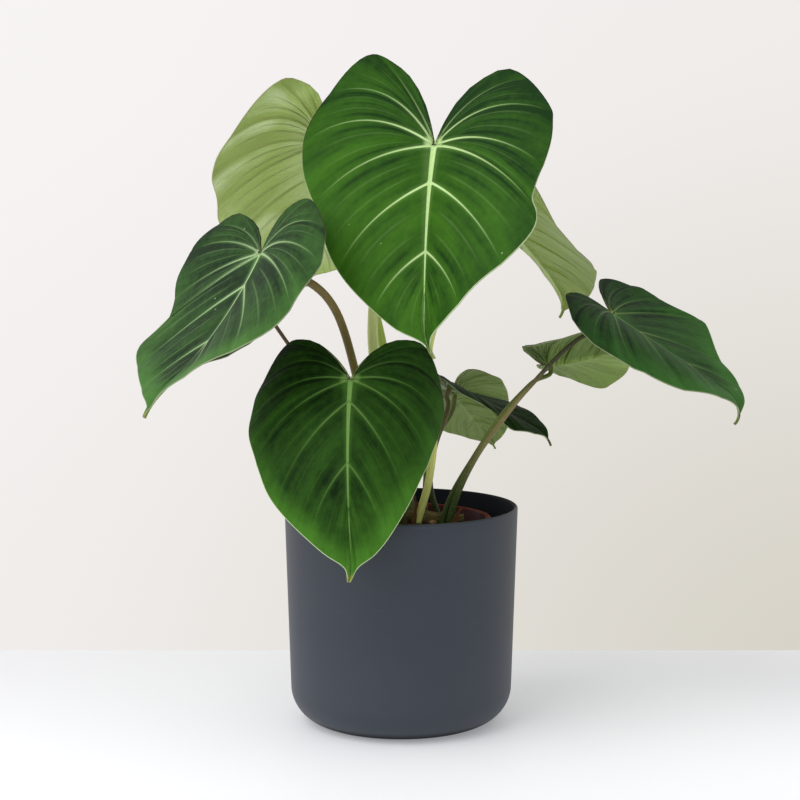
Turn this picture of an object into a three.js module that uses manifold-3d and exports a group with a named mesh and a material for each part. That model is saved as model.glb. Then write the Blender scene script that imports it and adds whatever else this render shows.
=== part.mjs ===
// A potted philodendron gloriosum: ten heart-shaped leaves on long petioles, which rise from
// a creeping rhizome in potting mix. The plant grows in a nursery pot inside a cover pot.
// Millimetres, +Z up. The origin is the centre of the cover pot's foot, on the surface.
// The front of the plant faces -Y.

import * as THREE from 'three';
import { mergeVertices } from 'three/addons/utils/BufferGeometryUtils.js';
import Module from 'manifold-3d';

const { clamp, degToRad, lerp } = THREE.MathUtils;
const clampUnit = (value) => clamp(value, 0, 1);

// Driving dimensions

const GAP = 0.3;

const COVER_RIM_RADIUS = 90;
const COVER_HEIGHT = 168;
const COVER_FOOT_RADIUS = 85.7;
const COVER_FOOT_ROUND = 28;
const COVER_WALL = 3;
const COVER_FLOOR = 4;
const STAND_RING_RADIUS = 42;
const STAND_RING_WIDTH = 6;
const STAND_RING_HEIGHT = 14;
const POT_SIDES = 48;

const NURSERY_RIM_RADIUS = 70;
const NURSERY_RIM_TOP = 159;
const NURSERY_RIM_DEPTH = 9;
const NURSERY_RIM_PROUD = 2.2;
const NURSERY_FOOT_RADIUS = 52;
const NURSERY_WALL = 1.8;
const DRAIN_HOLES = 6;
const DRAIN_RADIUS = 4.5;
const DRAIN_RING_RADIUS = 26;

const MIX_CROWN = 156;
const MIX_EDGE = 147;
const MIX_CROWN_RADIUS = 34;
// The slope from the edge up to the crown: [distance outside the crown's radius, depth below it].
const MIX_SLOPE = [[24, 7], [14, 2.5], [0, 0]];
const ROOTED_DEPTH = 28;

const RHIZOME_RADIUS = 7.5;
const RHIZOME_ENDS = [[-26, 0], [50, -1]];
const RHIZOME_RINGS = 5;
const RHIZOME_SCAR = 0.6;
const RHIZOME_SIDES = 12;

const BLADE = 0.8;
const KEEL_SHARE = 0.012;
const PLEAT_SHARE = 0.012;
const PETIOLE_SIDES = 8;
const PETIOLE_STEPS = 14;
const PETIOLE_SEAT = 0.03;
const SEAT_GAP = 0.4;
const PETIOLE_CLEARANCE = 0.4;

// Shares of the midrib's length: where the tip's own bend starts, where its hook to one side
// starts, where the fullness named low starts, and the half width over which a half blade turns
// by its whole curl.
const TIP_START = 0.75;
const TAIL_START = 0.88;
const LOW_START = 0.4;
const CURL_WIDTH = 0.6;

// Materials

function plain(color, roughness, metalness = 0) {
  return new THREE.MeshStandardMaterial({ color, roughness, metalness });
}

const FINISH = {
  cover: plain(0x454b54, 0.6),
  nursery: plain(0x7a3a26, 0.7),
  mix: plain(0x3c2a1c, 0.95),
  rhizome: plain(0x6b5a35, 0.8),
  leaf: plain(0x2c5a22, 0.55),
  petiole: plain(0x6e7a3c, 0.6),
};

// Solids and booleans

const wasm = await Module();
wasm.setup();

function weld(geometry) {
  const bare = geometry.clone();
  bare.deleteAttribute('normal');
  bare.deleteAttribute('uv');
  const merged = mergeVertices(bare, 1e-3);
  const index = merged.index.array;
  const kept = [];
  for (let i = 0; i < index.length; i += 3) {
    const [a, b, c] = [index[i], index[i + 1], index[i + 2]];
    if (a !== b && b !== c && c !== a) kept.push(a, b, c);
  }
  merged.setIndex(kept);
  return merged;
}

function toSolid(geometry) {
  const merged = weld(geometry);
  return new wasm.Manifold(new wasm.Mesh({
    numProp: 3,
    vertProperties: new Float32Array(merged.attributes.position.array),
    triVerts: new Uint32Array(merged.index.array),
  }));
}

function toGeometry(solid) {
  const mesh = solid.getMesh();
  const geometry = new THREE.BufferGeometry();
  geometry.setAttribute('position', new THREE.BufferAttribute(mesh.vertProperties, 3));
  geometry.setIndex(new THREE.BufferAttribute(mesh.triVerts, 1));
  geometry.computeVertexNormals();
  return geometry;
}

function cut(geometry, tools) {
  let solid = toSolid(geometry);
  for (const tool of tools) solid = solid.subtract(toSolid(tool));
  return toGeometry(solid);
}

// A profile of [radius, height] points, turned about the upright axis.
function turned(profile, sides = POT_SIDES) {
  const points = profile.map(([radius, height]) => new THREE.Vector2(radius, height));
  const lathe = new THREE.LatheGeometry(points, sides);
  return lathe.rotateX(Math.PI / 2);
}

// A round rod along a curve.
function rod(curve, radius, sides, steps) {
  const section = new THREE.Shape();
  for (let k = 0; k < sides; k += 1) {
    const turn = (2 * Math.PI * k) / sides;
    const [x, y] = [radius * Math.cos(turn), radius * Math.sin(turn)];
    if (k === 0) section.moveTo(x, y);
    else section.lineTo(x, y);
  }
  return new THREE.ExtrudeGeometry(section, { steps, extrudePath: curve, bevelEnabled: false });
}

// Pots

function quarterRound(radius, height, round, steps) {
  const points = [];
  for (let k = 0; k <= steps; k += 1) {
    const turn = (Math.PI / 2) * (k / steps);
    points.push([radius - round + round * Math.sin(turn), height + round - round * Math.cos(turn)]);
  }
  return points;
}

function coverPot() {
  const lip = COVER_WALL / 2;
  const floorRound = COVER_FOOT_ROUND - COVER_WALL;
  const ringInner = STAND_RING_RADIUS - STAND_RING_WIDTH / 2;
  const ringOuter = STAND_RING_RADIUS + STAND_RING_WIDTH / 2;
  const ringTop = COVER_FLOOR + STAND_RING_HEIGHT;
  const outside = quarterRound(COVER_FOOT_RADIUS, 0, COVER_FOOT_ROUND, 5);
  const inside = quarterRound(COVER_FOOT_RADIUS - COVER_WALL, COVER_FLOOR, floorRound, 4).reverse();
  return turned([
    [0, 0],
    ...outside,
    [COVER_RIM_RADIUS, COVER_HEIGHT - lip],
    [COVER_RIM_RADIUS - lip * 0.3, COVER_HEIGHT - lip * 0.3],
    [COVER_RIM_RADIUS - lip, COVER_HEIGHT],
    [COVER_RIM_RADIUS - lip * 1.7, COVER_HEIGHT - lip * 0.3],
    [COVER_RIM_RADIUS - COVER_WALL, COVER_HEIGHT - lip],
    ...inside,
    [ringOuter, COVER_FLOOR],
    [ringOuter, ringTop],
    [ringInner, ringTop],
    [ringInner, COVER_FLOOR],
    [0, COVER_FLOOR],
  ]);
}

const NURSERY_FOOT = COVER_FLOOR + STAND_RING_HEIGHT + GAP;
const NURSERY_FLOOR = NURSERY_FOOT + NURSERY_WALL;

// The outer radius of the nursery pot's tapered wall at a height.
function nurseryRadius(height) {
  const share = (height - NURSERY_FOOT) / (NURSERY_RIM_TOP - NURSERY_FOOT);
  const top = NURSERY_RIM_RADIUS - NURSERY_RIM_PROUD;
  return NURSERY_FOOT_RADIUS + (top - NURSERY_FOOT_RADIUS) * share;
}

function nurseryPot() {
  const collar = NURSERY_RIM_TOP - NURSERY_RIM_DEPTH;
  const wall = turned([
    [0, NURSERY_FOOT],
    [NURSERY_FOOT_RADIUS - 2, NURSERY_FOOT],
    [NURSERY_FOOT_RADIUS, NURSERY_FOOT + 2],
    [nurseryRadius(collar), collar],
    [NURSERY_RIM_RADIUS - 0.6, collar],
    [NURSERY_RIM_RADIUS, NURSERY_RIM_TOP - 1],
    [NURSERY_RIM_RADIUS - 1, NURSERY_RIM_TOP],
    [nurseryRadius(NURSERY_RIM_TOP) - NURSERY_WALL, NURSERY_RIM_TOP],
    [nurseryRadius(NURSERY_FLOOR) - NURSERY_WALL, NURSERY_FLOOR],
    [0, NURSERY_FLOOR],
  ]);
  const drains = [];
  for (let k = 0; k < DRAIN_HOLES; k += 1) {
    const turn = (2 * Math.PI * k) / DRAIN_HOLES;
    const drain = new THREE.CylinderGeometry(DRAIN_RADIUS, DRAIN_RADIUS, 4 * NURSERY_WALL, 12);
    drain.rotateX(Math.PI / 2);
    drain.translate(DRAIN_RING_RADIUS * Math.cos(turn), DRAIN_RING_RADIUS * Math.sin(turn), NURSERY_FLOOR);
    drains.push(drain);
  }
  return cut(wall, drains);
}

// Leaf shape

// One half of a blade's outline, from the sinus round the lobe to the tip: [distance from the
// midrib in shares of the half width, distance along it]. Behind the petiole's joint the second
// number is a share of the lobe's length, and before it a share of the midrib's length.
const OUTLINE = new THREE.SplineCurve([
  [0, 0], [0.05, -0.41], [0.18, -0.75], [0.34, -0.92], [0.51, -1.0], [0.69, -0.82], [0.85, -0.5],
  [0.98, -0.1], [0.96, 0.2], [0.83, 0.45], [0.59, 0.68], [0.28, 0.85], [0.09, 0.93], [0.03, 0.99],
  [0, 1],
].map(([w, s]) => new THREE.Vector2(w, s)));
const LAST_POINT = OUTLINE.points.length - 1;

// Where each main vein meets the margin, counted along the outline's points, and where it
// leaves the midrib, as a share of the midrib's length.
const VEINS = [
  { margin: 3, origin: 0 },
  { margin: 5.4, origin: 0 },
  { margin: 7.5, origin: 0 },
  { margin: 8.6, origin: 0 },
  { margin: 9.7, origin: 0.18 },
  { margin: 11, origin: 0.51 },
  { margin: 12.2, origin: 0.71 },
];
const STOPS = [0, ...VEINS.map((vein) => vein.margin), LAST_POINT];
const ORIGINS = [0, ...VEINS.map((vein) => vein.origin), 1];
const CELLS_BETWEEN_VEINS = 3;
const CELLS_TO_MARGIN = [0, 0.35, 0.7, 1];

function outlineAt(half, place) {
  const { x, y } = OUTLINE.getPoint(place / LAST_POINT);
  const along = clampUnit(y);
  const ripple = half.ripple * Math.sin(degToRad(half.phase) + 4 * Math.PI * along);
  let w = x * half.width * (1 + (half.full + ripple) * Math.sin(Math.PI * along));
  w *= 1 + half.low * Math.sin(Math.PI * clampUnit((y - LOW_START) / (1 - LOW_START)));
  w += half.open * clampUnit(-y) * (1 - x);
  return { w, s: y < 0 ? y * half.lobe : y };
}

// A point of the flat half blade: place runs along the outline, and share from the vein's
// origin to the margin. The veins arch, so the way between them is a quadratic curve.
function flatPoint(half, gap, part, share) {
  const place = lerp(STOPS[gap], STOPS[gap + 1], part);
  const from = lerp(ORIGINS[gap], ORIGINS[gap + 1], part);
  const edge = outlineAt(half, place);
  const arch = 0.7 * Math.exp(-(((place - 6.2) / 2.3) ** 2)) * (half.lobe / 0.4);
  const middle = {
    w: clamp(0.25 + 0.07 * (place - 3), 0.2, 0.7) * edge.w,
    s: from + 0.4 * (edge.s - from) - arch * edge.w,
  };
  const [a, b, c] = [(1 - share) ** 2, 2 * share * (1 - share), share ** 2];
  return { w: b * middle.w + c * edge.w, s: a * from + b * middle.s + c * edge.s };
}

// How far the midrib has turned down at a distance along it.
function midribTurn(leaf, s) {
  if (s < 0) return degToRad(leaf.lobeBend) * s;
  const tip = clampUnit((s - TIP_START) / (1 - TIP_START)) ** 2;
  return degToRad(leaf.bend * s + leaf.bendMore * s * s + leaf.tipBend * tip);
}

function midribPoint(leaf, s) {
  const steps = 16;
  let [y, z] = [0, 0];
  for (let k = 0; k < steps; k += 1) {
    const turn = midribTurn(leaf, (s * (k + 0.5)) / steps);
    y += (Math.cos(turn) * s) / steps;
    z -= (Math.sin(turn) * s) / steps;
  }
  return { y, z };
}

function leafAxes(leaf) {
  const [heading, droop, roll] = [leaf.heading, leaf.droop, leaf.roll].map(degToRad);
  const along = new THREE.Vector3(
    Math.cos(droop) * Math.sin(heading),
    -Math.cos(droop) * Math.cos(heading),
    -Math.sin(droop),
  );
  const up = new THREE.Vector3(
    Math.sin(droop) * Math.sin(heading),
    -Math.sin(droop) * Math.cos(heading),
    Math.cos(droop),
  );
  const across = along.clone().cross(up);
  const frame = new THREE.Matrix4().makeBasis(across, along, up);
  const rolled = new THREE.Matrix4().makeRotationY(-roll);
  return frame.multiply(rolled);
}

// A point of the bent blade in millimetres. Side is 1 or -1.
function bentPoint(leaf, side, { w, s }, rise = 0) {
  const half = side > 0 ? leaf.port : leaf.starboard;
  const fold = degToRad(half.fold);
  const curl = degToRad(half.curl) / CURL_WIDTH;
  const out = side * (Math.sin(fold) - Math.sin(fold - curl * w)) / curl;
  const lift = (Math.cos(fold - curl * w) - Math.cos(fold)) / curl + rise;
  const twist = degToRad(leaf.twist) * s;
  const x = out * Math.cos(twist) - lift * Math.sin(twist);
  const n = out * Math.sin(twist) + lift * Math.cos(twist);
  const turn = midribTurn(leaf, s);
  const rib = midribPoint(leaf, s);
  const tail = clampUnit((s - TAIL_START) / (1 - TAIL_START));
  return new THREE.Vector3(
    x + leaf.sweep * Math.max(s, 0) ** 2 + leaf.tipHook * tail ** 2,
    rib.y + n * Math.sin(turn),
    rib.z + n * Math.cos(turn),
  ).multiplyScalar(leaf.length).applyMatrix4(leafAxes(leaf)).add(new THREE.Vector3(...leaf.at));
}

// The blade's top face as a welded sheet, with its keel depth at each point.
function bladeSheet(leaf) {
  const points = [];
  const keels = [];
  const known = new Map();
  const triangles = [];
  const rim = [];

  function pointId(side, gap, part, share) {
    const half = side > 0 ? leaf.port : leaf.starboard;
    const flat = flatPoint(half, gap, part, share);
    const rise = PLEAT_SHARE * Math.sin(Math.PI * part) * share * (1.5 - 0.8 * share);
    const point = bentPoint(leaf, side, flat, rise);
    const key = point.toArray().map((value) => Math.round(value * 50)).join(' ');
    if (!known.has(key)) {
      known.set(key, points.length);
      points.push(point);
      keels.push(share === 0 ? KEEL_SHARE * leaf.length * (1 - flat.s) : 0);
    }
    return known.get(key);
  }

  function addTriangle(side, a, b, c) {
    if (a === b || b === c || c === a) return;
    triangles.push(side > 0 ? [a, c, b] : [a, b, c]);
  }

  function addRim(side, start, end) {
    if (start !== end) rim.push(side > 0 ? [start, end] : [end, start]);
  }

  for (const side of [1, -1]) {
    const rows = [];
    for (let gap = 0; gap < STOPS.length - 1; gap += 1) {
      for (let k = 1; k <= CELLS_BETWEEN_VEINS; k += 1) {
        const part = k / CELLS_BETWEEN_VEINS;
        rows.push(CELLS_TO_MARGIN.map((share) => pointId(side, gap, part, share)));
      }
    }
    rows[0].slice(1).forEach((id, k) => addRim(side, rows[0][k], id));
    for (let r = 0; r < rows.length - 1; r += 1) {
      for (let k = 0; k < CELLS_TO_MARGIN.length - 1; k += 1) {
        const [a, b, c, d] = [rows[r][k], rows[r + 1][k], rows[r + 1][k + 1], rows[r][k + 1]];
        addTriangle(side, a, b, c);
        addTriangle(side, a, c, d);
      }
      addRim(side, rows[r].at(-1), rows[r + 1].at(-1));
    }
  }
  return { points, keels, triangles, rim };
}

function sheetNormals({ points, triangles }) {
  const sheet = new THREE.BufferGeometry().setFromPoints(points);
  sheet.setIndex(triangles.flat());
  sheet.computeVertexNormals();
  const normals = sheet.attributes.normal;
  return points.map((_, k) => new THREE.Vector3().fromBufferAttribute(normals, k));
}

function blade(leaf) {
  const sheet = bladeSheet(leaf);
  const normals = sheetNormals(sheet);
  const below = sheet.points.map((point, k) => (
    point.clone().addScaledVector(normals[k], -(BLADE + sheet.keels[k]))
  ));
  const count = sheet.points.length;
  const index = [];
  for (const [a, b, c] of sheet.triangles) {
    index.push(a, b, c);
    index.push(a + count, c + count, b + count);
  }
  for (const [a, b] of sheet.rim) {
    index.push(a, a + count, b + count);
    index.push(a, b + count, b);
  }
  const geometry = new THREE.BufferGeometry().setFromPoints([...sheet.points, ...below]);
  geometry.setIndex(index);
  geometry.computeVertexNormals();
  return geometry;
}

// Petioles

// The middle of the petiole's end face, just under the keel, and the way that it faces.
function seatUnder(leaf) {
  const seat = bentPoint(leaf, 1, { w: 0, s: PETIOLE_SEAT });
  const ahead = bentPoint(leaf, 1, { w: 0, s: PETIOLE_SEAT + 0.05 });
  const left = bentPoint(leaf, 1, { w: 0.05, s: PETIOLE_SEAT });
  const right = bentPoint(leaf, -1, { w: 0.05, s: PETIOLE_SEAT });
  const up = left.sub(right).cross(ahead.clone().sub(seat)).normalize();
  const gap = leaf.petiole.seatGap ?? SEAT_GAP;
  const depth = BLADE + KEEL_SHARE * leaf.length * (1 - PETIOLE_SEAT) + gap;
  return { end: seat.clone().addScaledVector(up, -depth), up };
}

function petioleCurve(leaf, lower = 0) {
  const { base, path, hook } = leaf.petiole;
  const { end, up } = seatUnder(leaf);
  const points = [
    new THREE.Vector3(base[0], base[1], MIX_CROWN - ROOTED_DEPTH - lower),
    new THREE.Vector3(base[0], base[1], MIX_CROWN - 4),
    ...path.map((point) => new THREE.Vector3(...point)),
    end.clone().addScaledVector(up, -hook),
    end,
  ];
  return new THREE.CatmullRomCurve3(points, false, 'centripetal');
}

function petiole(leaf) {
  return rod(petioleCurve(leaf), leaf.petiole.radius, PETIOLE_SIDES, PETIOLE_STEPS);
}

function petioleHole(leaf) {
  const radius = leaf.petiole.radius + PETIOLE_CLEARANCE;
  return rod(petioleCurve(leaf, PETIOLE_CLEARANCE), radius, PETIOLE_SIDES, PETIOLE_STEPS);
}

// The plant. Heading is where the tip points, from the front towards +X, and droop is how far
// it points down. Port is the half on a viewer's left who sees the top face with its tip down.
// Widths, lobes, open, sweep, hook and ripple are shares of the midrib's length, and turns are
// degrees.

const LEAVES = [
  {
    name: 'front_upper', at: [25, -25, 443], length: 174,
    heading: -15, droop: 60, roll: -11, twist: -10, sweep: -0.09,
    bend: 7, bendMore: -11, lobeBend: 11, tipBend: 34, tipHook: -0.025,
    port: {
      width: 0.595, lobe: 0.44, full: -0.08, ripple: 0.027, phase: 24,
      open: 0.065, low: -0.02, fold: 18, curl: 11,
    },
    starboard: {
      width: 0.605, lobe: 0.28, full: 0.066, ripple: 0.03, phase: 80,
      open: 0.075, low: 0.25, fold: 30, curl: 40,
    },
    petiole: {
      radius: 4.3, base: [-3, 14], hook: 20,
      path: [[-10, 14, 217], [-22, 12, 299], [-12, 8, 372], [14, 2, 421]],
    },
  },
  {
    name: 'front_lower', at: [-37, -78, 273], length: 150,
    heading: -5, droop: 53, roll: -2, twist: 6, sweep: -0.035,
    bend: 39, bendMore: -2, lobeBend: 37, tipBend: -7, tipHook: 0.02,
    port: {
      width: 0.58, lobe: 0.355, full: 0.06, ripple: 0.044, phase: -4,
      open: 0.16, low: -0.075, fold: -5, curl: 40,
    },
    starboard: {
      width: 0.6, lobe: 0.33, full: -0.13, ripple: 0.024, phase: 8,
      open: 0.11, low: -0.145, fold: -1, curl: 77,
    },
    petiole: {
      radius: 3.8, base: [2, -17], hook: 18, seatGap: 1.1,
      path: [[-6, -24, 190], [-22, -42, 235]],
    },
  },
  {
    name: 'left', at: [-105, -30, 363], length: 155,
    heading: -48, droop: 59, roll: -10, twist: -4, sweep: 0.024,
    bend: -24, bendMore: -2, lobeBend: 11, tipBend: 31, tipHook: 0,
    port: {
      width: 0.605, lobe: 0.22, full: -0.05, ripple: 0.082, phase: 0,
      open: 0.056, low: 0.3, fold: 9, curl: 2,
    },
    starboard: {
      width: 0.6, lobe: 0.26, full: 0.175, ripple: 0.055, phase: 89,
      open: -0.045, low: 0.015, fold: 17, curl: 36,
    },
    petiole: {
      radius: 3.4, base: [-14, -13], hook: 14,
      path: [[-27, -10, 228], [-35, -7, 272], [-50, -22, 321], [-66, -33, 340]],
    },
  },
  {
    name: 'back_left', at: [-60, 66, 446], length: 163,
    heading: 194, droop: 47, roll: 3, twist: -16, sweep: 0.04,
    bend: 4, bendMore: -10, lobeBend: -9, tipBend: 8, tipHook: 0,
    port: {
      width: 0.52, lobe: 0.4, full: 0.02, ripple: 0.029, phase: 0,
      open: 0, low: 0.03, fold: 3, curl: 24,
    },
    starboard: {
      width: 0.59, lobe: 0.455, full: -0.01, ripple: 0.041, phase: 85,
      open: -0.02, low: 0.02, fold: -1, curl: 23,
    },
    petiole: {
      radius: 3.6, base: [9, 14], hook: 18,
      path: [[-3, 20, 216], [-16, 24, 298], [-30, 30, 348], [-49, 38, 402]],
    },
  },
  {
    name: 'back_right', at: [80, 54, 390], length: 138,
    heading: 142, droop: 36, roll: -33, twist: 9, sweep: -0.038,
    bend: -14, bendMore: 29, lobeBend: -65, tipBend: 52, tipHook: 0,
    port: {
      width: 0.626, lobe: 0.48, full: -0.096, ripple: 0.012, phase: -15,
      open: 0.038, low: -0.163, fold: 29, curl: 32,
    },
    starboard: {
      width: 0.586, lobe: 0.3, full: 0, ripple: 0.029, phase: -8,
      open: 0, low: -0.002, fold: 17, curl: 35,
    },
    petiole: {
      radius: 3, base: [11.5, -14], hook: 16,
      path: [[20.5, -14, 186], [25, -11, 220], [25, -8, 252], [21.5, 2, 289], [34, 20, 325], [57, 38, 365]],
    },
  },
  {
    name: 'right', at: [160, -15, 317], length: 132,
    heading: 71, droop: 33, roll: 2, twist: -1, sweep: 0.015,
    bend: -10, bendMore: 18, lobeBend: 4, tipBend: 95, tipHook: 0,
    port: {
      width: 0.58, lobe: 0.23, full: 0.12, ripple: 0.004, phase: 0,
      open: 0.05, low: 0.13, fold: 9, curl: 41,
    },
    starboard: {
      width: 0.61, lobe: 0.23, full: 0.19, ripple: 0.098, phase: 162,
      open: 0.16, low: -0.2, fold: 9, curl: -9,
    },
    petiole: {
      radius: 2.8, base: [36.5, -16], hook: 12,
      path: [[42, -16, 176], [57, -16, 207.5], [75.5, -15, 233.5], [95, -15, 258.5], [137, -19, 300]],
    },
  },
  {
    name: 'right_under', at: [115, 32, 274], length: 79,
    heading: 66, droop: -7, roll: 32, twist: 7, sweep: 0.014,
    bend: -23, bendMore: 11, lobeBend: 5, tipBend: 21, tipHook: 0,
    port: {
      width: 0.615, lobe: 0.15, full: 0.07, ripple: 0.032, phase: 0,
      open: -0.05, low: 0.03, fold: 21, curl: 60,
    },
    starboard: {
      width: 0.66, lobe: 0.22, full: 0.44, ripple: 0.04, phase: -78,
      open: 0.01, low: 0.05, fold: 35, curl: 37,
    },
    petiole: {
      radius: 2.2, base: [31, -13], hook: 5,
      path: [[38, -11, 176], [56, -7.5, 207], [76.5, -5, 238], [94, 1, 256.5], [103, 9, 263.5]],
    },
  },
  {
    name: 'inner_back', at: [44, 128, 242], length: 78,
    heading: 144, droop: 36, roll: 12, twist: -1, sweep: 0.03,
    bend: 14, bendMore: -2, lobeBend: 16, tipBend: 14, tipHook: 0,
    port: {
      width: 0.58, lobe: 0.34, full: -0.07, ripple: 0.013, phase: 0,
      open: 0.12, low: 0, fold: 8, curl: 2,
    },
    starboard: {
      width: 0.6, lobe: 0.4, full: 0, ripple: 0.023, phase: 0,
      open: 0, low: 0.02, fold: 4, curl: 25,
    },
    petiole: {
      radius: 2, base: [19, 22], hook: 12,
      path: [[19, 30, 180], [21, 44, 197], [25.5, 62, 209], [34, 88, 218]],
    },
  },
  {
    name: 'inner_right', at: [36, 40, 257], length: 97,
    heading: 89, droop: 22, roll: 11, twist: -32, sweep: 0,
    bend: 3, bendMore: 11, lobeBend: 10, tipBend: 40, tipHook: 0,
    port: {
      width: 0.438, lobe: 0.22, full: -0.025, ripple: 0.076, phase: 30,
      open: 0, low: 0.3, fold: 15, curl: 53,
    },
    starboard: {
      width: 0.426, lobe: 0.25, full: 0.05, ripple: 0.038, phase: -14,
      open: 0, low: 0.064, fold: 9, curl: 25,
    },
    petiole: {
      radius: 2.2, base: [30.5, 11.5], hook: 6,
      path: [[24, 10, 174], [22.5, 10, 188], [26.5, 16, 212], [34, 28, 232], [37, 36, 243]],
    },
  },
  {
    name: 'left_under', at: [-109, 0, 328], length: 81,
    heading: -41, droop: 47, roll: 0, twist: 1, sweep: -0.02,
    bend: -1, bendMore: -28, lobeBend: 10, tipBend: -24, tipHook: 0,
    port: {
      width: 0.6, lobe: 0.3, full: 0, ripple: 0.03, phase: 0,
      open: 0, low: 0, fold: 9, curl: 20,
    },
    starboard: {
      width: 0.59, lobe: 0.3, full: -0.02, ripple: 0.03, phase: 8,
      open: 0, low: -0.04, fold: 8, curl: -8,
    },
    petiole: {
      radius: 1.6, base: [-16, 12], hook: 9,
      path: [[-20, 14, 201], [-55, 14, 248], [-88, 13, 293]],
    },
  },
];

// Rhizome

// The creeping stem with its ring scars, lying along X. Grown makes it larger all round.
function rhizome(grown = 0) {
  const [start, end] = RHIZOME_ENDS.map(([x, y]) => new THREE.Vector2(x, y));
  const length = start.distanceTo(end) + 2 * grown;
  const profile = [[0, 0]];
  for (let k = 0; k <= 4 * RHIZOME_RINGS; k += 1) {
    const along = k / (4 * RHIZOME_RINGS);
    const roundedEnds = Math.sin(Math.PI * clamp(along, 0.06, 0.94)) ** 0.25;
    const scar = RHIZOME_SCAR * Math.cos(2 * Math.PI * RHIZOME_RINGS * along);
    profile.push([(RHIZOME_RADIUS + scar) * roundedEnds + grown, length * lerp(0.02, 0.98, along)]);
  }
  profile.push([0, length]);
  const lathe = turned(profile, RHIZOME_SIDES);
  lathe.rotateY(Math.PI / 2);
  lathe.rotateZ(end.clone().sub(start).angle());
  return lathe.translate(start.x - grown, start.y, MIX_CROWN);
}

// Potting mix

function pottingMix() {
  const inner = (height) => nurseryRadius(height) - NURSERY_WALL - GAP;
  const foot = NURSERY_FLOOR + GAP;
  const body = turned([
    [0, foot],
    [inner(foot), foot],
    [inner(MIX_EDGE), MIX_EDGE],
    ...MIX_SLOPE.map(([outside, below]) => [MIX_CROWN_RADIUS + outside, MIX_CROWN - below]),
    [0, MIX_CROWN],
  ]);
  return cut(body, [rhizome(GAP), ...LEAVES.map(petioleHole)]);
}

// The plant in its pots

const plant = new THREE.Group();

function add(name, geometry, material) {
  const mesh = new THREE.Mesh(geometry, material);
  mesh.name = name;
  plant.add(mesh);
}

add('cover_pot', coverPot(), FINISH.cover);
add('nursery_pot', nurseryPot(), FINISH.nursery);
add('potting_mix', pottingMix(), FINISH.mix);
add('rhizome', rhizome(), FINISH.rhizome);
for (const leaf of LEAVES) {
  add(`leaf_${leaf.name}`, blade(leaf), FINISH.leaf);
  add(`petiole_${leaf.name}`, petiole(leaf), FINISH.petiole);
}

export default plant;
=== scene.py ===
"""The looks of a potted philodendron gloriosum.

Ten velvety heart-shaped blades with pale veins stand on long petioles. The petioles rise from
a creeping stem in chunky mix, in a nursery pot inside a matte cover pot. Metres, +Z up. Sizes
are written in millimetres and turned into metres where a mesh is made.
"""

import random
from functools import partialmethod
from math import cos, pi, radians, sin, sqrt
from types import SimpleNamespace as Record

import bmesh
import bpy
import numpy as np
from mathutils import Matrix, Vector, noise


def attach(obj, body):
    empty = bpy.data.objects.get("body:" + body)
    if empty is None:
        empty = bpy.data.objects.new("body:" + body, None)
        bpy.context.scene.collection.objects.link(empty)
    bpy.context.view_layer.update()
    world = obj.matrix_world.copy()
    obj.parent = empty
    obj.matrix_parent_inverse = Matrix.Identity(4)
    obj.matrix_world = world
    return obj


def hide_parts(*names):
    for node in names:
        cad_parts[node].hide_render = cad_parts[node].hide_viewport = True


MM = 0.001

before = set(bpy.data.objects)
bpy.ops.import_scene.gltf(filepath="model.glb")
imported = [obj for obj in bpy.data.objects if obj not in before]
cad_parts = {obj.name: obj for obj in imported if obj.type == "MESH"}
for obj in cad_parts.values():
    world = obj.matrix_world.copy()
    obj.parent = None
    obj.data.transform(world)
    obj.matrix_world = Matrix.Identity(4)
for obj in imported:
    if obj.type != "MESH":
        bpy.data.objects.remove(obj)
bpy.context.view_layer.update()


# Driving dimensions

COVER_RIM_RADIUS = 90
COVER_HEIGHT = 168
COVER_FOOT_RADIUS = 85.7
COVER_FOOT_ROUND = 28
COVER_WALL = 3
COVER_FLOOR = 4
STAND_RING_RADIUS = 42
STAND_RING_WIDTH = 6
STAND_RING_HEIGHT = 14
STAND_RING_CHAMFER = 0.6
POT_STEPS = 144
WALL_RINGS = 12
RIM_STEPS = 8
FOOT_STEPS = 14
INSIDE_FOOT_STEPS = 10

# How wide the pots' corners are bevelled, from which angle in degrees, and how near two points of
# a grid or of a pot are made one.
CORNER_WIDTH = 0.25
CORNER_ANGLE = 35
GRID_MERGE = 0.005
POT_MERGE = 0.01

MIX_EDGE_RADIUS = 65
MIX_WALL_GAP = 0.4
MIX_CROWN = 156
# The mix's underside and side from the middle up to the edge: distances from the middle, and
# heights. Then its surface in the same way, from the middle to the wall.
MIX_SIDE = ((0, 25, 50.2, 55, 60, MIX_EDGE_RADIUS - MIX_WALL_GAP), (21, 21, 21, 65, 108, 146))
MIX_SURFACE = ((0, 34, 48, 58, MIX_EDGE_RADIUS), (MIX_CROWN, MIX_CROWN, 153.5, 149, 147))
# How far the fibre lies below that surface, which the chips bring up to its height.
MIX_SINK = 1.2
MIX_RINGS = 40
MIX_STEPS = 120

# The chips: their number, the seed of their random draws, their sizes, how far they tilt in
# radians, and how rough they are as a share of their size.
MIX_CHIPS = 420
CHIP_SEED = 11
CHIP_SIZES = (1.4, 4.6)
CHIP_TILT = 0.7
CHIP_ROUGHNESS = 0.22

RHIZOME_ENDS = ((-26, 0), (50, -1))
RHIZOME_RADIUS = 7.5
RHIZOME_RINGS = 5
RHIZOME_SCAR = 0.6
RHIZOME_SIDES = 28

# The dry sheaths at the petioles' feet: the leaf, the way it faces in degrees, and its height.
# Then how thick they all are.
SHEATHS = (
    ("front_upper", 200, 27), ("back_left", 40, 22), ("left", 250, 24), ("back_right", 185, 20),
    ("right", 330, 16),
)
SHEATH = 0.35
SHEATH_COLUMNS = 10
SHEATH_ROWS = 14

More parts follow.
